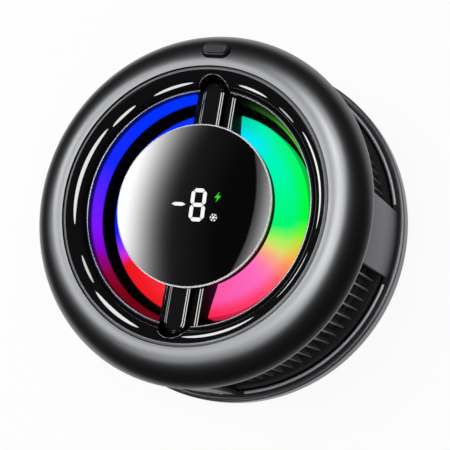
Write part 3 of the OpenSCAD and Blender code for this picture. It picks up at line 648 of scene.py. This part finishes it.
def ringOfTree():  # copies of one shape around the axis, in groups
    tree, sheet, given = newTree("ringOf", Shape="Object", Groups="Int", PerGroup="Int", First="Float",
                                 GroupStep="Float", Pitch="Float")
    points = sheet.add("GeometryNodePoints", {}, {"Count": given["Groups"] * given["PerGroup"]})
    index = sheet.add("GeometryNodeInputIndex")
    group = (index / given["PerGroup"] + 0.001).floor()
    within = index - group * given["PerGroup"] - (given["PerGroup"] - 1) / 2
    turn = (given["First"] + group * given["GroupStep"] + within * given["Pitch"]) * (math.pi / 180)
    twist = sheet.add("ShaderNodeCombineXYZ", {}, {"Z": turn})
    face = sheet.add("FunctionNodeEulerToRotation", {}, {0: twist})
    endTree(sheet, shapeCopies(sheet, given, {"Points": points, "Rotation": face}), given)
    return tree


def rowOfTree():  # copies of one shape along X
    tree, sheet, given = newTree("rowOf", Shape="Object", Count="Int", Pitch="Float")
    index = sheet.add("GeometryNodeInputIndex")
    along = (index - (given["Count"] - 1) / 2) * given["Pitch"]
    spot = sheet.add("ShaderNodeCombineXYZ", {}, {"X": along})
    points = sheet.add("GeometryNodePoints", {}, {"Count": given["Count"], "Position": spot})
    endTree(sheet, shapeCopies(sheet, given, {"Points": points}), given)
    return tree


def pathBeadTree():  # round bead along a path
    tree, sheet, given = newTree("pathBead", Path="Object", Radius="Float", Sides="Int")
    path = sheet.add("GeometryNodeObjectInfo", {}, {"Object": given["Path"]}, "Geometry")
    line = sheet.add("GeometryNodeMeshToCurve", {}, {"Mesh": path})
    circle = sheet.add("GeometryNodeCurvePrimitiveCircle", {},
                       {"Resolution": given["Sides"], "Radius": given["Radius"]})
    bead = sheet.add("GeometryNodeCurveToMesh", {},
                     {"Curve": line, "Profile Curve": circle, "Fill Caps": True})
    endTree(sheet, bead, given)
    return tree


ringOf = ringOfTree()
rowOf = rowOfTree()
pathBead = pathBeadTree()


def growPiece(name, tree, finish, **inputs):
    host = standObject(name, bpy.data.meshes.new(name))
    grow = host.modifiers.new("grow", "NODES")
    grow.node_group = tree
    inputs["Finish"] = finishes[finish]
    for item in tree.interface.items_tree:
        if item.in_out == "INPUT":
            grow[item.identifier] = inputs[item.name]
    bakePiece(host)
    for used in inputs.values():
        if isinstance(used, bpy.types.Object):
            bpy.data.objects.remove(used)
    return host


def pathObject(name, strands):  # lines that a bead follows
    bm = bmesh.new()
    for points in strands:
        verts = [bm.verts.new(p) for p in points]
        for a, b in zip(verts, verts[1:]):
            bm.edges.new((a, b))
    return sketchObject(name, bm)


print("tools ready")


# satin ring with the button's seat

button = {"at": (0, 28.9, 27.4578), "tilt": 16.2141, "size": (5.0, 2.3), "out": 1.0, "gap": 0.15,
          "shaft": (-3.2, 2.0),
          "levels": ((-0.3, -2.75), (-0.3, -2.35), (0, -2.34), (0, -0.56), (0.03, -0.48), (0.15, -0.44),
                     (0.15, -0.2), (0.18, -0.12), (0.23, -0.06), (0.3, -0.02), (0.39, 0), (0.75, 0.01))}
buttonPlace = Matrix.Translation(button["at"]) @ spin(-button["tilt"], "X")

satinRing = {"inner": 25.95, "crown": (27.2, 21.612, 6.088), "edge": (32.0, 23.3, 1.0), "lip": 0.14,
             "wall": 1.2, "hollow": (17.7, 90.6), "back": 22.3, "flange": (25.2, 23.1), "skirt": 24.0,
             "moat": (5.7, 3.0), "moatDepth": 0.5, "moatFoot": 0.15, "moatTop": 3.0, "dull": 25.98}


def makeSatinRing():
    d = satinRing
    cx, cz, cr = d["crown"]
    ex, ez, er = d["edge"]
    turnIn = math.degrees(math.acos((d["inner"] + d["lip"] - cx) / cr))
    turnOut = math.degrees(math.atan2(ez - cz, ex - cx))
    crown = arcPoints(cx, cz, cr, turnIn, turnOut, 40)
    lip = arcPoints(d["inner"] + d["lip"], crown[0][1] - d["lip"], d["lip"], 180, 100, 5)
    edge = arcPoints(ex, ez, er, turnOut, -90, 14)[1:]
    hollow = arcPoints(cx, cz, cr - d["wall"], *d["hollow"], 16)
    outline = [(d["inner"], d["skirt"])] + lip + crown + edge + [(d["flange"][0], d["back"]), d["flange"]]
    outline += hollow + [(d["inner"] + d["wall"], d["skirt"])]
    ring = lathePiece("satinRing", outline, fine)
    foot, depth = d["moatFoot"], d["moatDepth"]
    moat = stackPiece("moat", d["moat"], [(foot, -depth), (0, foot - depth), (0, d["moatTop"])], buttonPlace)
    shaft = stackPiece("shaft", button["size"], [(-button["gap"], z) for z in button["shaft"]], buttonPlace)
    cutPiece(ring, moat, shaft)
    finishPiece(ring, "satinRing", ["front_ring"], sharp=30)
    secondFinish(ring, "spokeMatt", lambda face: reachOf(face) < d["dull"])


def makeButton():
    levels = [(inset, button["out"] + z) for inset, z in button["levels"]]
    cap = stackPiece("powerButton", button["size"], levels, buttonPlace)
    finishPiece(cap, "satinButton", ["power_button"], "button", 30)


trimRing = {"outer": 25.92, "inner": 25.55, "low": 26.45, "foot": 27.12, "crest": (25.42, 27.5),
            "tip": (25.34, 27.47), "under": 27.3}


def makeTrim():
    d = trimRing
    outline = easeCorners([(d["inner"], d["low"]), (d["outer"], d["low"]), (d["outer"], d["foot"], 0.05),
                           d["crest"] + (0.04,), d["tip"] + (0.02,), (d["tip"][0], d["under"]),
                           (d["inner"], d["under"])])
    finishPiece(lathePiece("trimRing", outline, fine), "trimMetal", ["trim_ring"])


makeSatinRing()
makeButton()
makeTrim()
print("ring, button and trim made")


# gloss bezel with the two arches for the spokes

bezel = {"outer": 25.45, "arc": (25.8546, 23.2705, 4.0), "steep": 109.0, "lip": 157.0, "lipLow": 24.3,
         "wall": 1.2, "hollow": (159.8, 117.8), "skirt": 24.55, "low": 23.9, "eased": 0.25,
         "bead": (22.06, 24.72, 0.17), "edge": 22.23,
         "dull": ((22.23, 22.8), (25.12, 26))}  # beside the intake edge, beside the trim
arch = {"half": 3.1, "start": 15.3, "middle": 21.4, "cut": (20.0, 30.0), "bead": 0.11, "beadOut": 0.02,
        "beadSunk": 0.03, "beadFrom": 22.1}


def archCutter(side):
    half, middle, start = arch["half"], arch["middle"], arch["start"]
    low, high = arch["cut"]
    outline = [(half, start), (half, middle)] + arcPoints(0, middle, half, 4, 176, 36)
    outline += [(-half, middle), (-half, start)]
    face = [(x, y, low) for x, y in outline]
    return thickPiece("archCutter", [face], (0, 0, high - low), place=spin(side))


def bezelHeight(reach):  # height of the bezel's face at a radius
    x, z, r = bezel["arc"]
    steep = math.radians(bezel["steep"])
    knee = x + r * math.cos(steep)
    if reach > knee:
        return z + r * math.sin(steep) + (reach - knee) * math.tan(steep - math.pi / 2)
    return z + math.sqrt(r * r - (reach - x) ** 2)


def makeBezel():
    d = bezel
    x, z, r = d["arc"]
    face = arcPoints(x, z, r, d["steep"], d["lip"], 36)
    beadX, beadZ, beadR = d["bead"]  # thin raised bead on the intake edge
    bead = arcPoints(beadX, beadZ, beadR, 75, 180, 10)
    inner = arcPoints(x, z, r - d["wall"], *d["hollow"], 14)
    corners = [(d["outer"], d["low"]), (d["outer"], bezelHeight(d["outer"]), d["eased"])] + face + bead
    corners += [(beadX - beadR, d["lipLow"], 0.06)] + inner + [(d["skirt"], d["low"])]
    piece = lathePiece("frontBezel", easeCorners(corners), fine)
    cutPiece(piece, archCutter(0), archCutter(180))
    finishPiece(piece, "pianoBlack", ["front_bezel"], sharp=30)
    secondFinish(piece, "spokeMatt", lambda face: any(a < reachOf(face) < b for a, b in d["dull"]))
    secondFinish(piece, "edgeSilver", lambda face: reachOf(face) < d["edge"] and face.normal.z > 0)


def makeArchBeads():  # thin rounded rim around each arch
    d = arch
    strand = []
    for x, y in arcPoints(0, d["middle"], d["half"] + d["beadOut"], 0, 180, 48):
        reach = math.hypot(x, y)
        if reach >= d["beadFrom"]:
            strand.append((x, y, bezelHeight(reach) - d["beadSunk"]))
    path = pathObject("archPath", [strand, [(-x, -y, z) for x, y, z in strand]])
    beads = growPiece("archRims", pathBead, "pianoBlack", Path=path, Radius=d["bead"], Sides=10)
    finishPiece(beads, "pianoBlack", sharp=60)


makeBezel()
makeArchBeads()
print("bezel made")


# light ring and light dish

lightRing = {"foot": (21.0, 20.4), "top": (22.2, 24.2), "wall": 1.1, "notch": (15.0, 33.0),
             "notchHeight": (22.3, 30.0)}
lightDish = {"radius": 19.67, "low": 14.4, "rim": 18.15,
             "bowl": ((18.9, 17.95), (17.0, 17.4), (14.5, 16.4), (12.0, 15.6), (0, 15.6))}


def makeLights():
    d = lightRing
    (x0, z0), (x1, z1) = d["foot"], d["top"]
    outline = [(x0, z0, 0.1), (x0 + d["wall"], z0), (x1 + d["wall"], z1), (x1, z1, 0.08)]
    wall = lathePiece("lightRing", easeCorners(outline))
    corners = list(zip((-arch["half"], arch["half"]), d["notch"], d["notchHeight"]))
    for side in (0, 180):
        cutter = blockPiece("gap", *corners)
        cutter.data.transform(spin(side))
        cutPiece(wall, cutter)
    finishPiece(wall, "lightWall", ["light_ring"])
    e = lightDish
    outline = easeCorners([(0, e["low"]), (e["radius"], e["low"]), (e["radius"], e["rim"], 0.2)])
    dish = lathePiece("lightDish", outline + list(e["bowl"]))
    finishPiece(dish, "lightFloor", ["light_dish"])


# display puck: cup, glass and the lit marks

displayPuck = {"radius": 15.1, "column": 9.7, "low": 15.4, "under": 23.7, "seam": 25.6, "gap": 0.01,
               "wall": 0.9, "floor": 24.3, "columnFloor": 16.4, "top": 26.3, "chamfer": 0.24, "glass": 15.22,
               "proud": 0.008}


def makePuck():
    d = displayPuck
    r, c = d["radius"], d["column"]
    brim, wall, floor, foot = d["seam"] - d["gap"], d["wall"], d["floor"], d["columnFloor"]
    cup = easeCorners([(0, d["low"]), (c, d["low"]), (c, d["under"], 0.3), (r, d["under"], 0.4),
                       (r, brim, 0.05), (r - wall, brim), (r - wall, floor), (c - wall, floor),
                       (c - wall, foot), (0, foot)])
    puck = finishPiece(lathePiece("displayCup", cup), "pianoBlack", ["display_cup"])
    secondFinish(puck, "spokeMatt", lambda face: abs(face.normal.z) < 0.8)
    r, top, k, p = d["glass"], d["top"], d["chamfer"], d["proud"]
    glass = easeCorners([(0, d["seam"]), (r, d["seam"], 0.04), (r, top - k, 0.05), (r - k, top, 0.05),
                         (0, top)], 4)
    lens = lathePiece("displayLens", glass, fine)
    finishPiece(lens, "displayGlass", ["display_lens"], sharp=25)
    rim = [(r - k - p, top - p), (r - p, top - k - p), (r + p, top - k + p), (r - k + p, top + p)]
    finishPiece(lathePiece("lensRim", rim, fine), "glassEdge", sharp=25)  # white band painted along the chamfer as its highlight


marks = {"low": 26.292, "high": 26.312, "turn": 2.4, "digit": (1.08, 0.08), "digitSize": (2.3, 5.4),
         "stroke": 0.74, "barGap": 0.16, "minus": (-2.74, -0.09), "minusSize": (2.8, 0.66),
         "bolt": (4.7, 1.85), "boltShape": ((0.28, 1.0), (-0.62, -0.16), (-0.06, -0.16), (-0.3, -1.0),
                                            (0.64, 0.24), (0.06, 0.24)),
         "frost": (4.55, -1.94), "frostReach": 0.72, "frostStroke": 0.12, "twig": (0.3, 0.1), "twigTurn": 50}


def flatPiece(name, shapes):  # thin plates on the glass
    faces = [[(x, y, marks["low"]) for x, y in outline] for outline in shapes]
    return thickPiece(name, faces, (0, 0, marks["high"] - marks["low"]))


def segment(length, stroke, tip=0.5):  # bar with pointed ends, along X
    a, b = length / 2, stroke / 2
    c = a - stroke * tip
    return [(-a, 0), (-c, -b), (c, -b), (a, 0), (c, b), (-c, b)]


def placed(outline, at, turn):
    c, s = math.cos(math.radians(turn)), math.sin(math.radians(turn))
    return [(at[0] + x * c - y * s, at[1] + x * s + y * c) for x, y in outline]


def makeMarks():
    d = marks
    wide, tall = d["digitSize"]
    half = tall / 2
    bars = [((0, y), 0, wide) for y in (half, 0, -half)]
    bars += [((x, y), 90, half) for x in (-wide / 2, wide / 2) for y in (half / 2, -half / 2)]
    shapes = []
    for at, turn, length in bars:
        bar = placed(segment(length - d["barGap"], d["stroke"]), at, turn)
        shapes.append(placed(bar, d["digit"], d["turn"]))
    minus = placed(segment(*d["minusSize"], 1.0), d["minus"], d["turn"])
    bolt = placed(d["boltShape"], d["bolt"], d["turn"])
    for name, outlines, finish in (("digitSegments", shapes, "markWhite"),
                                   ("minusBar", [minus], "markWhite"), ("boltMark", [bolt], "markGreen")):
        finishPiece(flatPiece(name, outlines), finish)
    reach = d["frostReach"]
    arm = [placed(segment(reach, d["frostStroke"], 0.3), (reach * 0.52, 0), 0)]
    arm += [placed(segment(*d["twig"], 0.3), (reach * 0.8, s * 0.12), s * d["twigTurn"]) for s in (-1, 1)]
    flake = growPiece("frostMark", ringOf, "markWhite", Shape=flatPiece("frostArm", arm), Groups=1,
                      PerGroup=6, First=30.0, GroupStep=0.0, Pitch=60.0)
    flake.data.transform(Matrix.Translation(d["frost"] + (0,)))
    finishPiece(flake, "markWhite")


makeLights()
makePuck()
makeMarks()
print("lights and display made")


# spokes

spoke = {"shelfHalf": 3.9, "shelfEnd": 21.5, "armHalf": 2.95, "armLow": 22.4, "armTop": 23.7, "webHalf": 3.3,
         "webEnd": 20.1, "webLow": 15.4, "lap": 0.05, "tongueHalf": 2.4, "tongueEnd": 25.85,
         "tongueHeight": (23.1, 23.68), "capHalf": 2.1, "capTop": 25.4, "start": 9.6, "capStart": 15.06,
         "round": 21.4,
         # profiles as (inset from the side, drop from the top)
         "armEdge": ((0.12, 0), (0.04, 0.04), (0, 0.12)),
         "rail": ((0.68, 0.06), (0.66, -0.04), (0.52, 0.03), (0.5, 0.16), (0.27, 0.16), (0.25, 0.06),
                  (0.11, 0.13), (0, 0.26)),
         "ridge": ((0.6, 0), (0.58, 0.01), (0.45, 0.077), (0.43, 0.18), (0.25, 0.18), (0.23, 0.1),
                   (0.1, 0.167), (0, 0.28))}


def profile(half, top, steps):
    return [(half - inset, top - drop) for inset, drop in steps]


def makeSpokes():
    d = spoke
    low, top, start, turn = d["armLow"], d["armTop"], d["start"], d["round"]
    plain = [(0, top)] + profile(d["armHalf"], top, d["armEdge"]) + [(d["armHalf"], low), (0, low)]
    arm = barPiece("armBar", plain, start, turn)
    h = d["shelfHalf"]
    rail = profile(h, top, d["rail"]) + [(h, low + 0.1), (h - 0.1, low)]
    rail += [(-x, z) for x, z in reversed(rail)]
    shelf = thickPiece("shelf", [[(x, start, z) for x, z in rail]], (0, d["shelfEnd"] - start, 0))
    w, t = d["webHalf"], d["tongueHalf"]
    web = blockPiece("web", (-w, start, d["webLow"]), (w, d["webEnd"], low + d["lap"]), 0.12)
    under, over = d["tongueHeight"]
    tongue = blockPiece("tongue", (-t, turn, under), (t, d["tongueEnd"], over), 0.08)
    arms = finishPiece(bothSides("spokeArms", shelf), "spokeBlack", ["spoke_arms"], sharp=20)
    secondFinish(arms, "spokeMatt", lambda face: abs(face.normal.z) > 0.97 or abs(face.normal.z) < 0.2)
    webs = bothSides("spokeWebs", joinPieces("webParts", [arm, web, tongue]))
    finishPiece(webs, "spokeMatt")
    w = d["capHalf"]
    ridge = [(0, d["capTop"])] + profile(w, d["capTop"], d["ridge"]) + [(w, top), (0, top)]
    cap = barPiece("capBar", ridge, d["capStart"], turn)
    caps = finishPiece(bothSides("spokeCaps", cap), "spokeBlack", ["spoke_caps"], sharp=20)
    secondFinish(caps, "spokeMatt", lambda face: face.normal.z > 0.97 or abs(face.normal.z) < 0.2)


makeSpokes()
print("spokes made")


# side panels, power inlet and rear cover

panels = {"inner": 31.7, "outer": 32.65, "low": 4.7, "high": 22.2, "span": 22.4, "eased": 0.16}
inlet = {"size": (8.94, 3.16), "z": 7.78, "face": -32.45,
         "recess": ((-0.75, -0.3), (-0.9, -0.15), (-1.0, 1)), "hole": ((-0.1, -3), (-0.1, 1)),
         "shell": ((0, -7.3), (0, -0.12), (0.04, -0.04), (0.12, 0), (0.2, 0), (0.27, -0.08), (0.3, -0.2),
                   (0.3, -7.3)),
         "padLow": (-0.13, -2.1, -0.03), "padHigh": (0.13, 0.9, 0.03), "padCount": 12, "padPitch": 0.5,
         "padDeep": 2.9, "padRise": 0.35}


def inletPlace(y):  # Z points out of the port panel
    return Matrix.Translation((0, y, inlet["z"])) @ spin(90, "X")


def makePanels():
    d = panels
    for name, node, middle in (("panelRight", "panel_right", 0), ("panelTop", "panel_top", 90),
                               ("panelLeft", "panel_left", 180), ("portPanel", "port_panel", 270)):
        panel = sectorPiece(name, d["inner"], d["outer"], d["low"], d["high"], middle, d["span"], d["eased"])
        if node == "port_panel":
            for cut in ("recess", "hole"):
                cutPiece(panel, stackPiece(cut, inlet["size"], inlet[cut], inletPlace(-d["outer"])))
        finishPiece(panel, "satinPanel", [node], sharp=30)


def makeInlet():
    d = inlet
    shell = stackPiece("portShell", d["size"], d["shell"], inletPlace(d["face"]), True)
    finishPiece(shell, "portSteel", ["port_shell"])
    rows = []
    for side in (-1, 1):
        pad = blockPiece("pad", d["padLow"], d["padHigh"], 0.02)
        row = growPiece("contactRow", rowOf, "contactGold", Shape=pad, Count=d["padCount"],
                        Pitch=d["padPitch"])
        row.data.transform(Matrix.Translation((0, d["face"] + d["padDeep"], d["z"] + side * d["padRise"])))
        rows.append(row)
    finishPiece(joinPieces("portContacts", rows), "contactGold")


cover = {"hole": 20.6, "low": 1.0, "floor": 2.0, "rim": 4.6, "outer": 34.0, "rimIn": 31.9,
         "bottomRound": 0.6, "topRound": 0.7, "groove": 33.0, "grooveSlope": 0.1, "grooveDepth": 0.16,
         "beadAt": 32.3, "bead": 0.3, "beadSpan": 62.6, "vents": (45, 135, 225, 315)}


def makeCover():
    d = cover
    sunk = d["rim"] - d["grooveDepth"]
    outline = easeCorners([(d["hole"], d["low"], 0.2), (d["outer"], d["low"], d["bottomRound"]),
                           (d["outer"], d["rim"], d["topRound"]),
                           (d["groove"] + d["grooveSlope"], d["rim"], 0.08), (d["groove"], sunk, 0.04),
                           (d["rimIn"], sunk), (d["rimIn"], d["floor"]), (d["hole"], d["floor"])], 8)
    flange = lathePiece("rearCover", outline, fine)
    finishPiece(flange, "satinFlange", ["rear_cover"], sharp=28)
    # the faces inside the groove get the darker black: painted shade in the groove
    secondFinish(flange, "cageBlack", lambda face: reachOf(face) < d["groove"] + d["grooveSlope"] / 2)
    strands = []
    for middle in d["vents"]:
        run = arcPoints(0, 0, d["beadAt"], middle - d["beadSpan"] / 2, middle + d["beadSpan"] / 2, 60)
        strands.append([(x, y, d["rim"]) for x, y in run])
    path = pathObject("beadPath", strands)
    # the beads' pale grey is a painted highlight along each bead
    beads = growPiece("ventBeads", pathBead, "beadBlack", Path=path, Radius=d["bead"], Sides=16)
    finishPiece(beads, "beadBlack", sharp=60)


underside = {"padInner": 20.6, "padOuter": 31.2, "padThick": 1.0, "plate": 20.5, "step": 2.0, "lip": 21.5,
             "plateTop": 2.8}


def makeUnderside():
    d = underside
    a, b, t = d["padInner"], d["padOuter"], d["padThick"]
    pad = easeCorners([(a, 0, 0.25), (b, 0, 0.35), (b, t), (a, t)])
    finishPiece(lathePiece("gripPad", pad), "gripPad", ["grip_pad"])
    plate = easeCorners([(0, 0), (d["plate"], 0, 0.2), (d["plate"], d["step"]), (d["lip"], d["step"]),
                         (d["lip"], d["plateTop"]), (0, d["plateTop"])])
    finishPiece(lathePiece("coldPlate", plate), "coldPlate", ["cold_plate"])


makePanels()
makeInlet()
makeCover()
makeUnderside()
print("panels, inlet and cover made")


# fins and fan blades

fins = {"inner": 25.8, "foot": 28.6, "outer": 30.5, "base": 7.4, "low": 5.6, "top": 20.8, "thick": 0.4,
        "pitch": 3.9, "perVent": 17, "eased": 0.07}
blades = {"count": 72, "start": 20.35, "length": 4.85, "turn": 20.0, "thick": 0.45, "plate": 13.3,
          "dish": 15.4, "rim": 19.5, "top": 20.1, "lean": 1.1, "rimWidth": 1.5, "rimGap": 0.1, "eased": 0.06}


def platePiece(name, outline, thick, eased, place=None):  # plate standing on the radius
    return thickPiece(name, [[(x, -thick / 2, z) for x, z in outline]], (0, thick, 0), eased, place)


def makeFins():
    d = fins
    outline = [(d["inner"], d["base"]), (d["foot"], d["base"]), (d["foot"], d["low"]),
               (d["outer"], d["low"]), (d["outer"], d["top"]), (d["inner"], d["top"])]
    fin = platePiece("fin", outline, d["thick"], d["eased"])
    stack = growPiece("coolingFins", ringOf, "finBlack", Shape=fin, Groups=4, PerGroup=d["perVent"],
                      First=45.0, GroupStep=90.0, Pitch=d["pitch"])
    finishPiece(stack, "finBlack", ["cooling_fins"])


def makeBlades():
    d = blades
    t, back = d["thick"], d["length"] - d["thick"]
    notch = d["length"] - d["rimWidth"] - d["rimGap"]
    outline = [(t, d["plate"]), (back, d["plate"]), (back, d["rim"]), (notch, d["rim"]), (notch, d["top"]),
               (d["lean"] + t, d["top"]), (t, d["dish"])]
    place = Matrix.Translation((d["start"], 0, 0)) @ spin(d["turn"])
    blade = platePiece("blade", outline, t, d["eased"], place)
    pitch = 360 / d["count"]
    wheel = growPiece("fanBlades", ringOf, "wheelBlack", Shape=blade, Groups=1, PerGroup=d["count"],
                      First=(d["count"] - 1) * pitch / 2, GroupStep=0.0, Pitch=pitch)
    finishPiece(wheel, "wheelBlack", ["fan_blades"], "rotor")


makeFins()
makeBlades()
print("fins and blades made")


# finishes of the nodes that stay as built

keptNodes = {
    "cageBlack": ["vent_cage"], "finBlack": ["heat_sink"], "wheelBlack": ["wheel_plate", "wheel_rim"],
    "boardGreen": ["display_board", "front_board", "button_board", "motor_board", "main_board"],
    "boardWhite": ["led_board"], "chipLens": ["led_chips", "ring_chips"], "displayWhite": ["display_module"],
    "switchSteel": ["switch_body"], "plungerWhite": ["switch_plunger", "thrust_pad"],
    "motorSteel": ["rotor_can", "motor_shaft", "stator_core"], "magnetDark": ["rotor_magnet"],
    "clipPlastic": ["shaft_clip"], "bearingBronze": ["bearing_sleeve", "bearing_tube"],
    "coilCopper": ["stator_coils"], "chipBlack": ["board_chips", "port_tongue"],
    "ceramicWhite": ["hot_ceramic", "cold_ceramic"], "legGrey": ["tec_legs"], "leadRed": ["tec_leads"],
    "foamGrey": ["foam_ring"], "magnetNickel": ["magnets"], "shieldSteel": ["magnet_shield"],
    "screwSteel": ["case_screws", "ring_screws", "sink_screws", "dish_screws"],
}
for finish, kept in keptNodes.items():
    for node in kept:
        nodes[node].data.materials.clear()
        nodes[node].data.materials.append(finishes[finish])
print("kept nodes painted:", sum(len(kept) for kept in keptNodes.values()))


# floor, world and studio lamps, in metres

floorLook = {"radius": 6.0, "drop": -0.00004, "grey": (0.78, 0.78, 0.78, 1), "white": 0.92}
worldLook = {"seen": 0.97, "fill": 0.018, "near": (-0.1, 0.5), "table": (-0.02, -0.6)}


def seenRays(sheet):  # the camera's own rays, also through glass
    rays = sheet.add("ShaderNodeLightPath", out="Is Camera Ray")
    return rays, rays.atLeast(rays["Is Transmission Ray"])


def clearSheet(owner):
    owner.use_nodes = True
    sheet = NodeSheet(owner.node_tree)
    sheet.tree.nodes.clear()
    return sheet


def makeFloor():
    d = floorLook
    bm = bmesh.new()
    bmesh.ops.create_circle(bm, cap_ends=True, segments=96, radius=d["radius"])
    floor = sketchObject("floor", bm)
    floor.location.z = d["drop"]
    floor.visible_glossy = False  # mirrors show the world's backdrop instead
    material = bpy.data.materials.new("paleFloor")
    sheet = clearSheet(material)
    seen = seenRays(sheet)[1]
    matt = sheet.add("ShaderNodeBsdfDiffuse", {}, {"Color": d["grey"]})
    white = sheet.add("ShaderNodeEmission", {}, {"Color": (1, 1, 1, 1), "Strength": 1.0})
    both = sheet.add("ShaderNodeMixShader", {}, {0: seen * d["white"], 1: matt, 2: white})
    sheet.add("ShaderNodeOutputMaterial", {}, {"Surface": both})
    floor.data.materials.append(material)


def makeWorld():
    d = worldLook
    scene.world = bpy.data.worlds.new("studio")
    sheet = clearSheet(scene.world)
    rays, seen = seenRays(sheet)
    way = sheet.add("ShaderNodeTexCoord", out="Generated")
    aim = sheet.add("ShaderNodeSeparateXYZ", {}, {0: way})
    near = sheet.ease(aim["X"] * 0.6 - aim["Y"] * 0.8, *d["near"])
    table = rays["Is Glossy Ray"] * sheet.ease(aim["Z"] + near * 0.28, *d["table"])  # the pale table below
    light = seen.atLeast(table) * d["seen"] + d["fill"]
    sky = sheet.add("ShaderNodeBackground", {}, {"Color": (1, 1, 1, 1), "Strength": light})
    sheet.add("ShaderNodeOutputWorld", {}, {"Surface": sky})


lamps = {  # zenith distance and azimuth, width and height in degrees, brightness
    "rightBank": (31.5, -1, 46, 20, 5.0), "lowRight": (50.5, -54, 17, 15, 5.0),
    "lowFront": (62, -91, 24, 14, 5.0), "lowLeft": (67, -139, 14, 12, 5.0), "farLeft": (73, -157, 8, 9, 3.0),
    "leftBank": (61, 179, 22, 11, 5.5), "leftSmall": (66, 156, 10, 5, 5.0),
    "upperLeft": (61.5, 134, 18, 14, 5.0), "topBank": (47, 98, 20, 18, 5.0),
    "topRight": (53.5, 64, 15, 13, 4.0), "rightLow": (82, 0, 13, 12, 1.5),
    "overhead": (20.5, 168, 26, 51, 10.0),
    "ringCrown": (10, 60, 28, 28, 4.8), "ringTop": (31, 80, 28, 28, 2.25),
    "ringBack": (24, 100, 16, 16, 6.8), "ringRight": (31, 60, 16, 16, 3.3),
    "ringLow": (17, 270, 28, 28, 1.6), "ringNear": (10, 300, 28, 28, 1.65),
    "ringLeft": (31, 220, 16, 16, 3.0), "ringSide": (54, 180, 16, 16, 1.2),
    "sideBank": (64, 15, 70, 30, 4.6), "spokeSide": (77, 171, 30, 12, 2.5),
}
ringLamps = [name for name in lamps if name.startswith("ring")]  # broad fills for the satin ring alone
lampReach = 1.2
lampAim = Vector((0, 0, 0.02))

# unlit part of the overhead bank: arcs and ramps in units of its radius, the last three in metres
overheadGap = {"at": (-0.0875, -0.102), "radius": 0.0966, "turn": (0.92, 0.4), "softArc": (2.04, -0.64),
               "soft": (2.2, 3.06), "tail": (1.8, 2.5), "sharpArc": (-1.39, 0.374), "sharp": (2.09, 2.12),
               "glow": (2.1, 2.4), "outside": (1.49, 2.1), "fade": (-0.3, -0.1), "half": (0.06, -0.03),
               "end": (0.42, 0.2)}


def lampFrame(zenith, azimuth):  # across, towards the zenith, outwards
    z, a = math.radians(zenith), math.radians(azimuth)
    out = Vector((math.sin(z) * math.cos(a), math.sin(z) * math.sin(a), math.cos(z)))
    across = Vector((-math.sin(a), math.cos(a), 0))
    return across, out.cross(across), out


def awayFrom(middle, along, above):
    a, b = along - middle[0], above - middle[1]
    return (a * a + b * b) ** 0.5


def dimGap(data):  # soft towards the left of the display, sharp towards its right
    gap = overheadGap
    sheet = clearSheet(data)
    spot = sheet.add("ShaderNodeSeparateXYZ", {}, {0: sheet.add("ShaderNodeNewGeometry", out="Parametric")})
    across = (spot["X"] - 0.5) * data.size
    upward = (spot["Y"] - 0.5) * data.size_y
    x = (across - gap["at"][0]) / gap["radius"]
    y = (upward - gap["at"][1]) / gap["radius"]
    c, s = gap["turn"]
    along = y * c - x * s  # towards the right of the display
    above = (x * c + y * s) * -1
    left = awayFrom(gap["softArc"], along, above)
    soft = sheet.ease(left, *gap["soft"]) ** 2.8 * 0.88 + sheet.ease(left, *gap["tail"]) * 0.007
    far = awayFrom(gap["sharpArc"], along, above)
    sharp = sheet.ease(far, *gap["sharp"]) * 0.05 + sheet.ease(far, *gap["glow"]) * 0.38
    outside = sheet.ease(awayFrom((0, 0), x, y), *gap["outside"])
    lit = soft.atLeast(sharp).atLeast(outside) * sheet.ease(across, *gap["fade"])
    lit = lit * (sheet.ease(across, *gap["half"]) * 0.66 + 0.34) * sheet.ease(upward, *gap["end"])
    glow = sheet.add("ShaderNodeEmission", {}, {"Strength": lit})
    sheet.add("ShaderNodeOutputLight", {}, {"Surface": glow})


def receivers(name, *pieces):
    group = bpy.data.collections.new(name)
    for piece in pieces:
        group.objects.link(bpy.data.objects[piece])
    return group


def makeLamps():
    banks = receivers("bankReceivers", "satinRing", "portPanel", "displayLens")
    for member in banks.collection_objects:
        member.light_linking.link_state = "EXCLUDE"  # these three are left out of the gloss banks
    groups = dict.fromkeys(ringLamps, receivers("ringReceivers", "satinRing"))
    groups["sideBank"] = receivers("sideReceivers", "rearCover", "ventBeads", "coolingFins")
    groups["spokeSide"] = receivers("spokeReceivers", "spokeArms", "spokeCaps")
    for name, (zenith, azimuth, wide, tall, glow) in lamps.items():
        square = name == "overhead"
        data = bpy.data.lights.new(name, "AREA")
        data.shape = "RECTANGLE" if square else "ELLIPSE"
        data.size = 2 * lampReach * math.tan(math.radians(wide / 2))
        data.size_y = 2 * lampReach * math.tan(math.radians(tall / 2))
        area = data.size * data.size_y * (1.0 if square else math.pi / 4)
        data.energy = glow * math.pi * area
        across, upward, out = lampFrame(zenith, azimuth)
        lamp = standObject(name, data)
        lamp.matrix_world = facing(across, upward, out)
        lamp.location = lampAim + out * lampReach
        lamp.visible_camera = False
        if square:
            dimGap(data)
        else:
            lamp.light_linking.receiver_collection = groups.get(name, banks)


makeFloor()
makeWorld()
makeLamps()
print("studio lit")
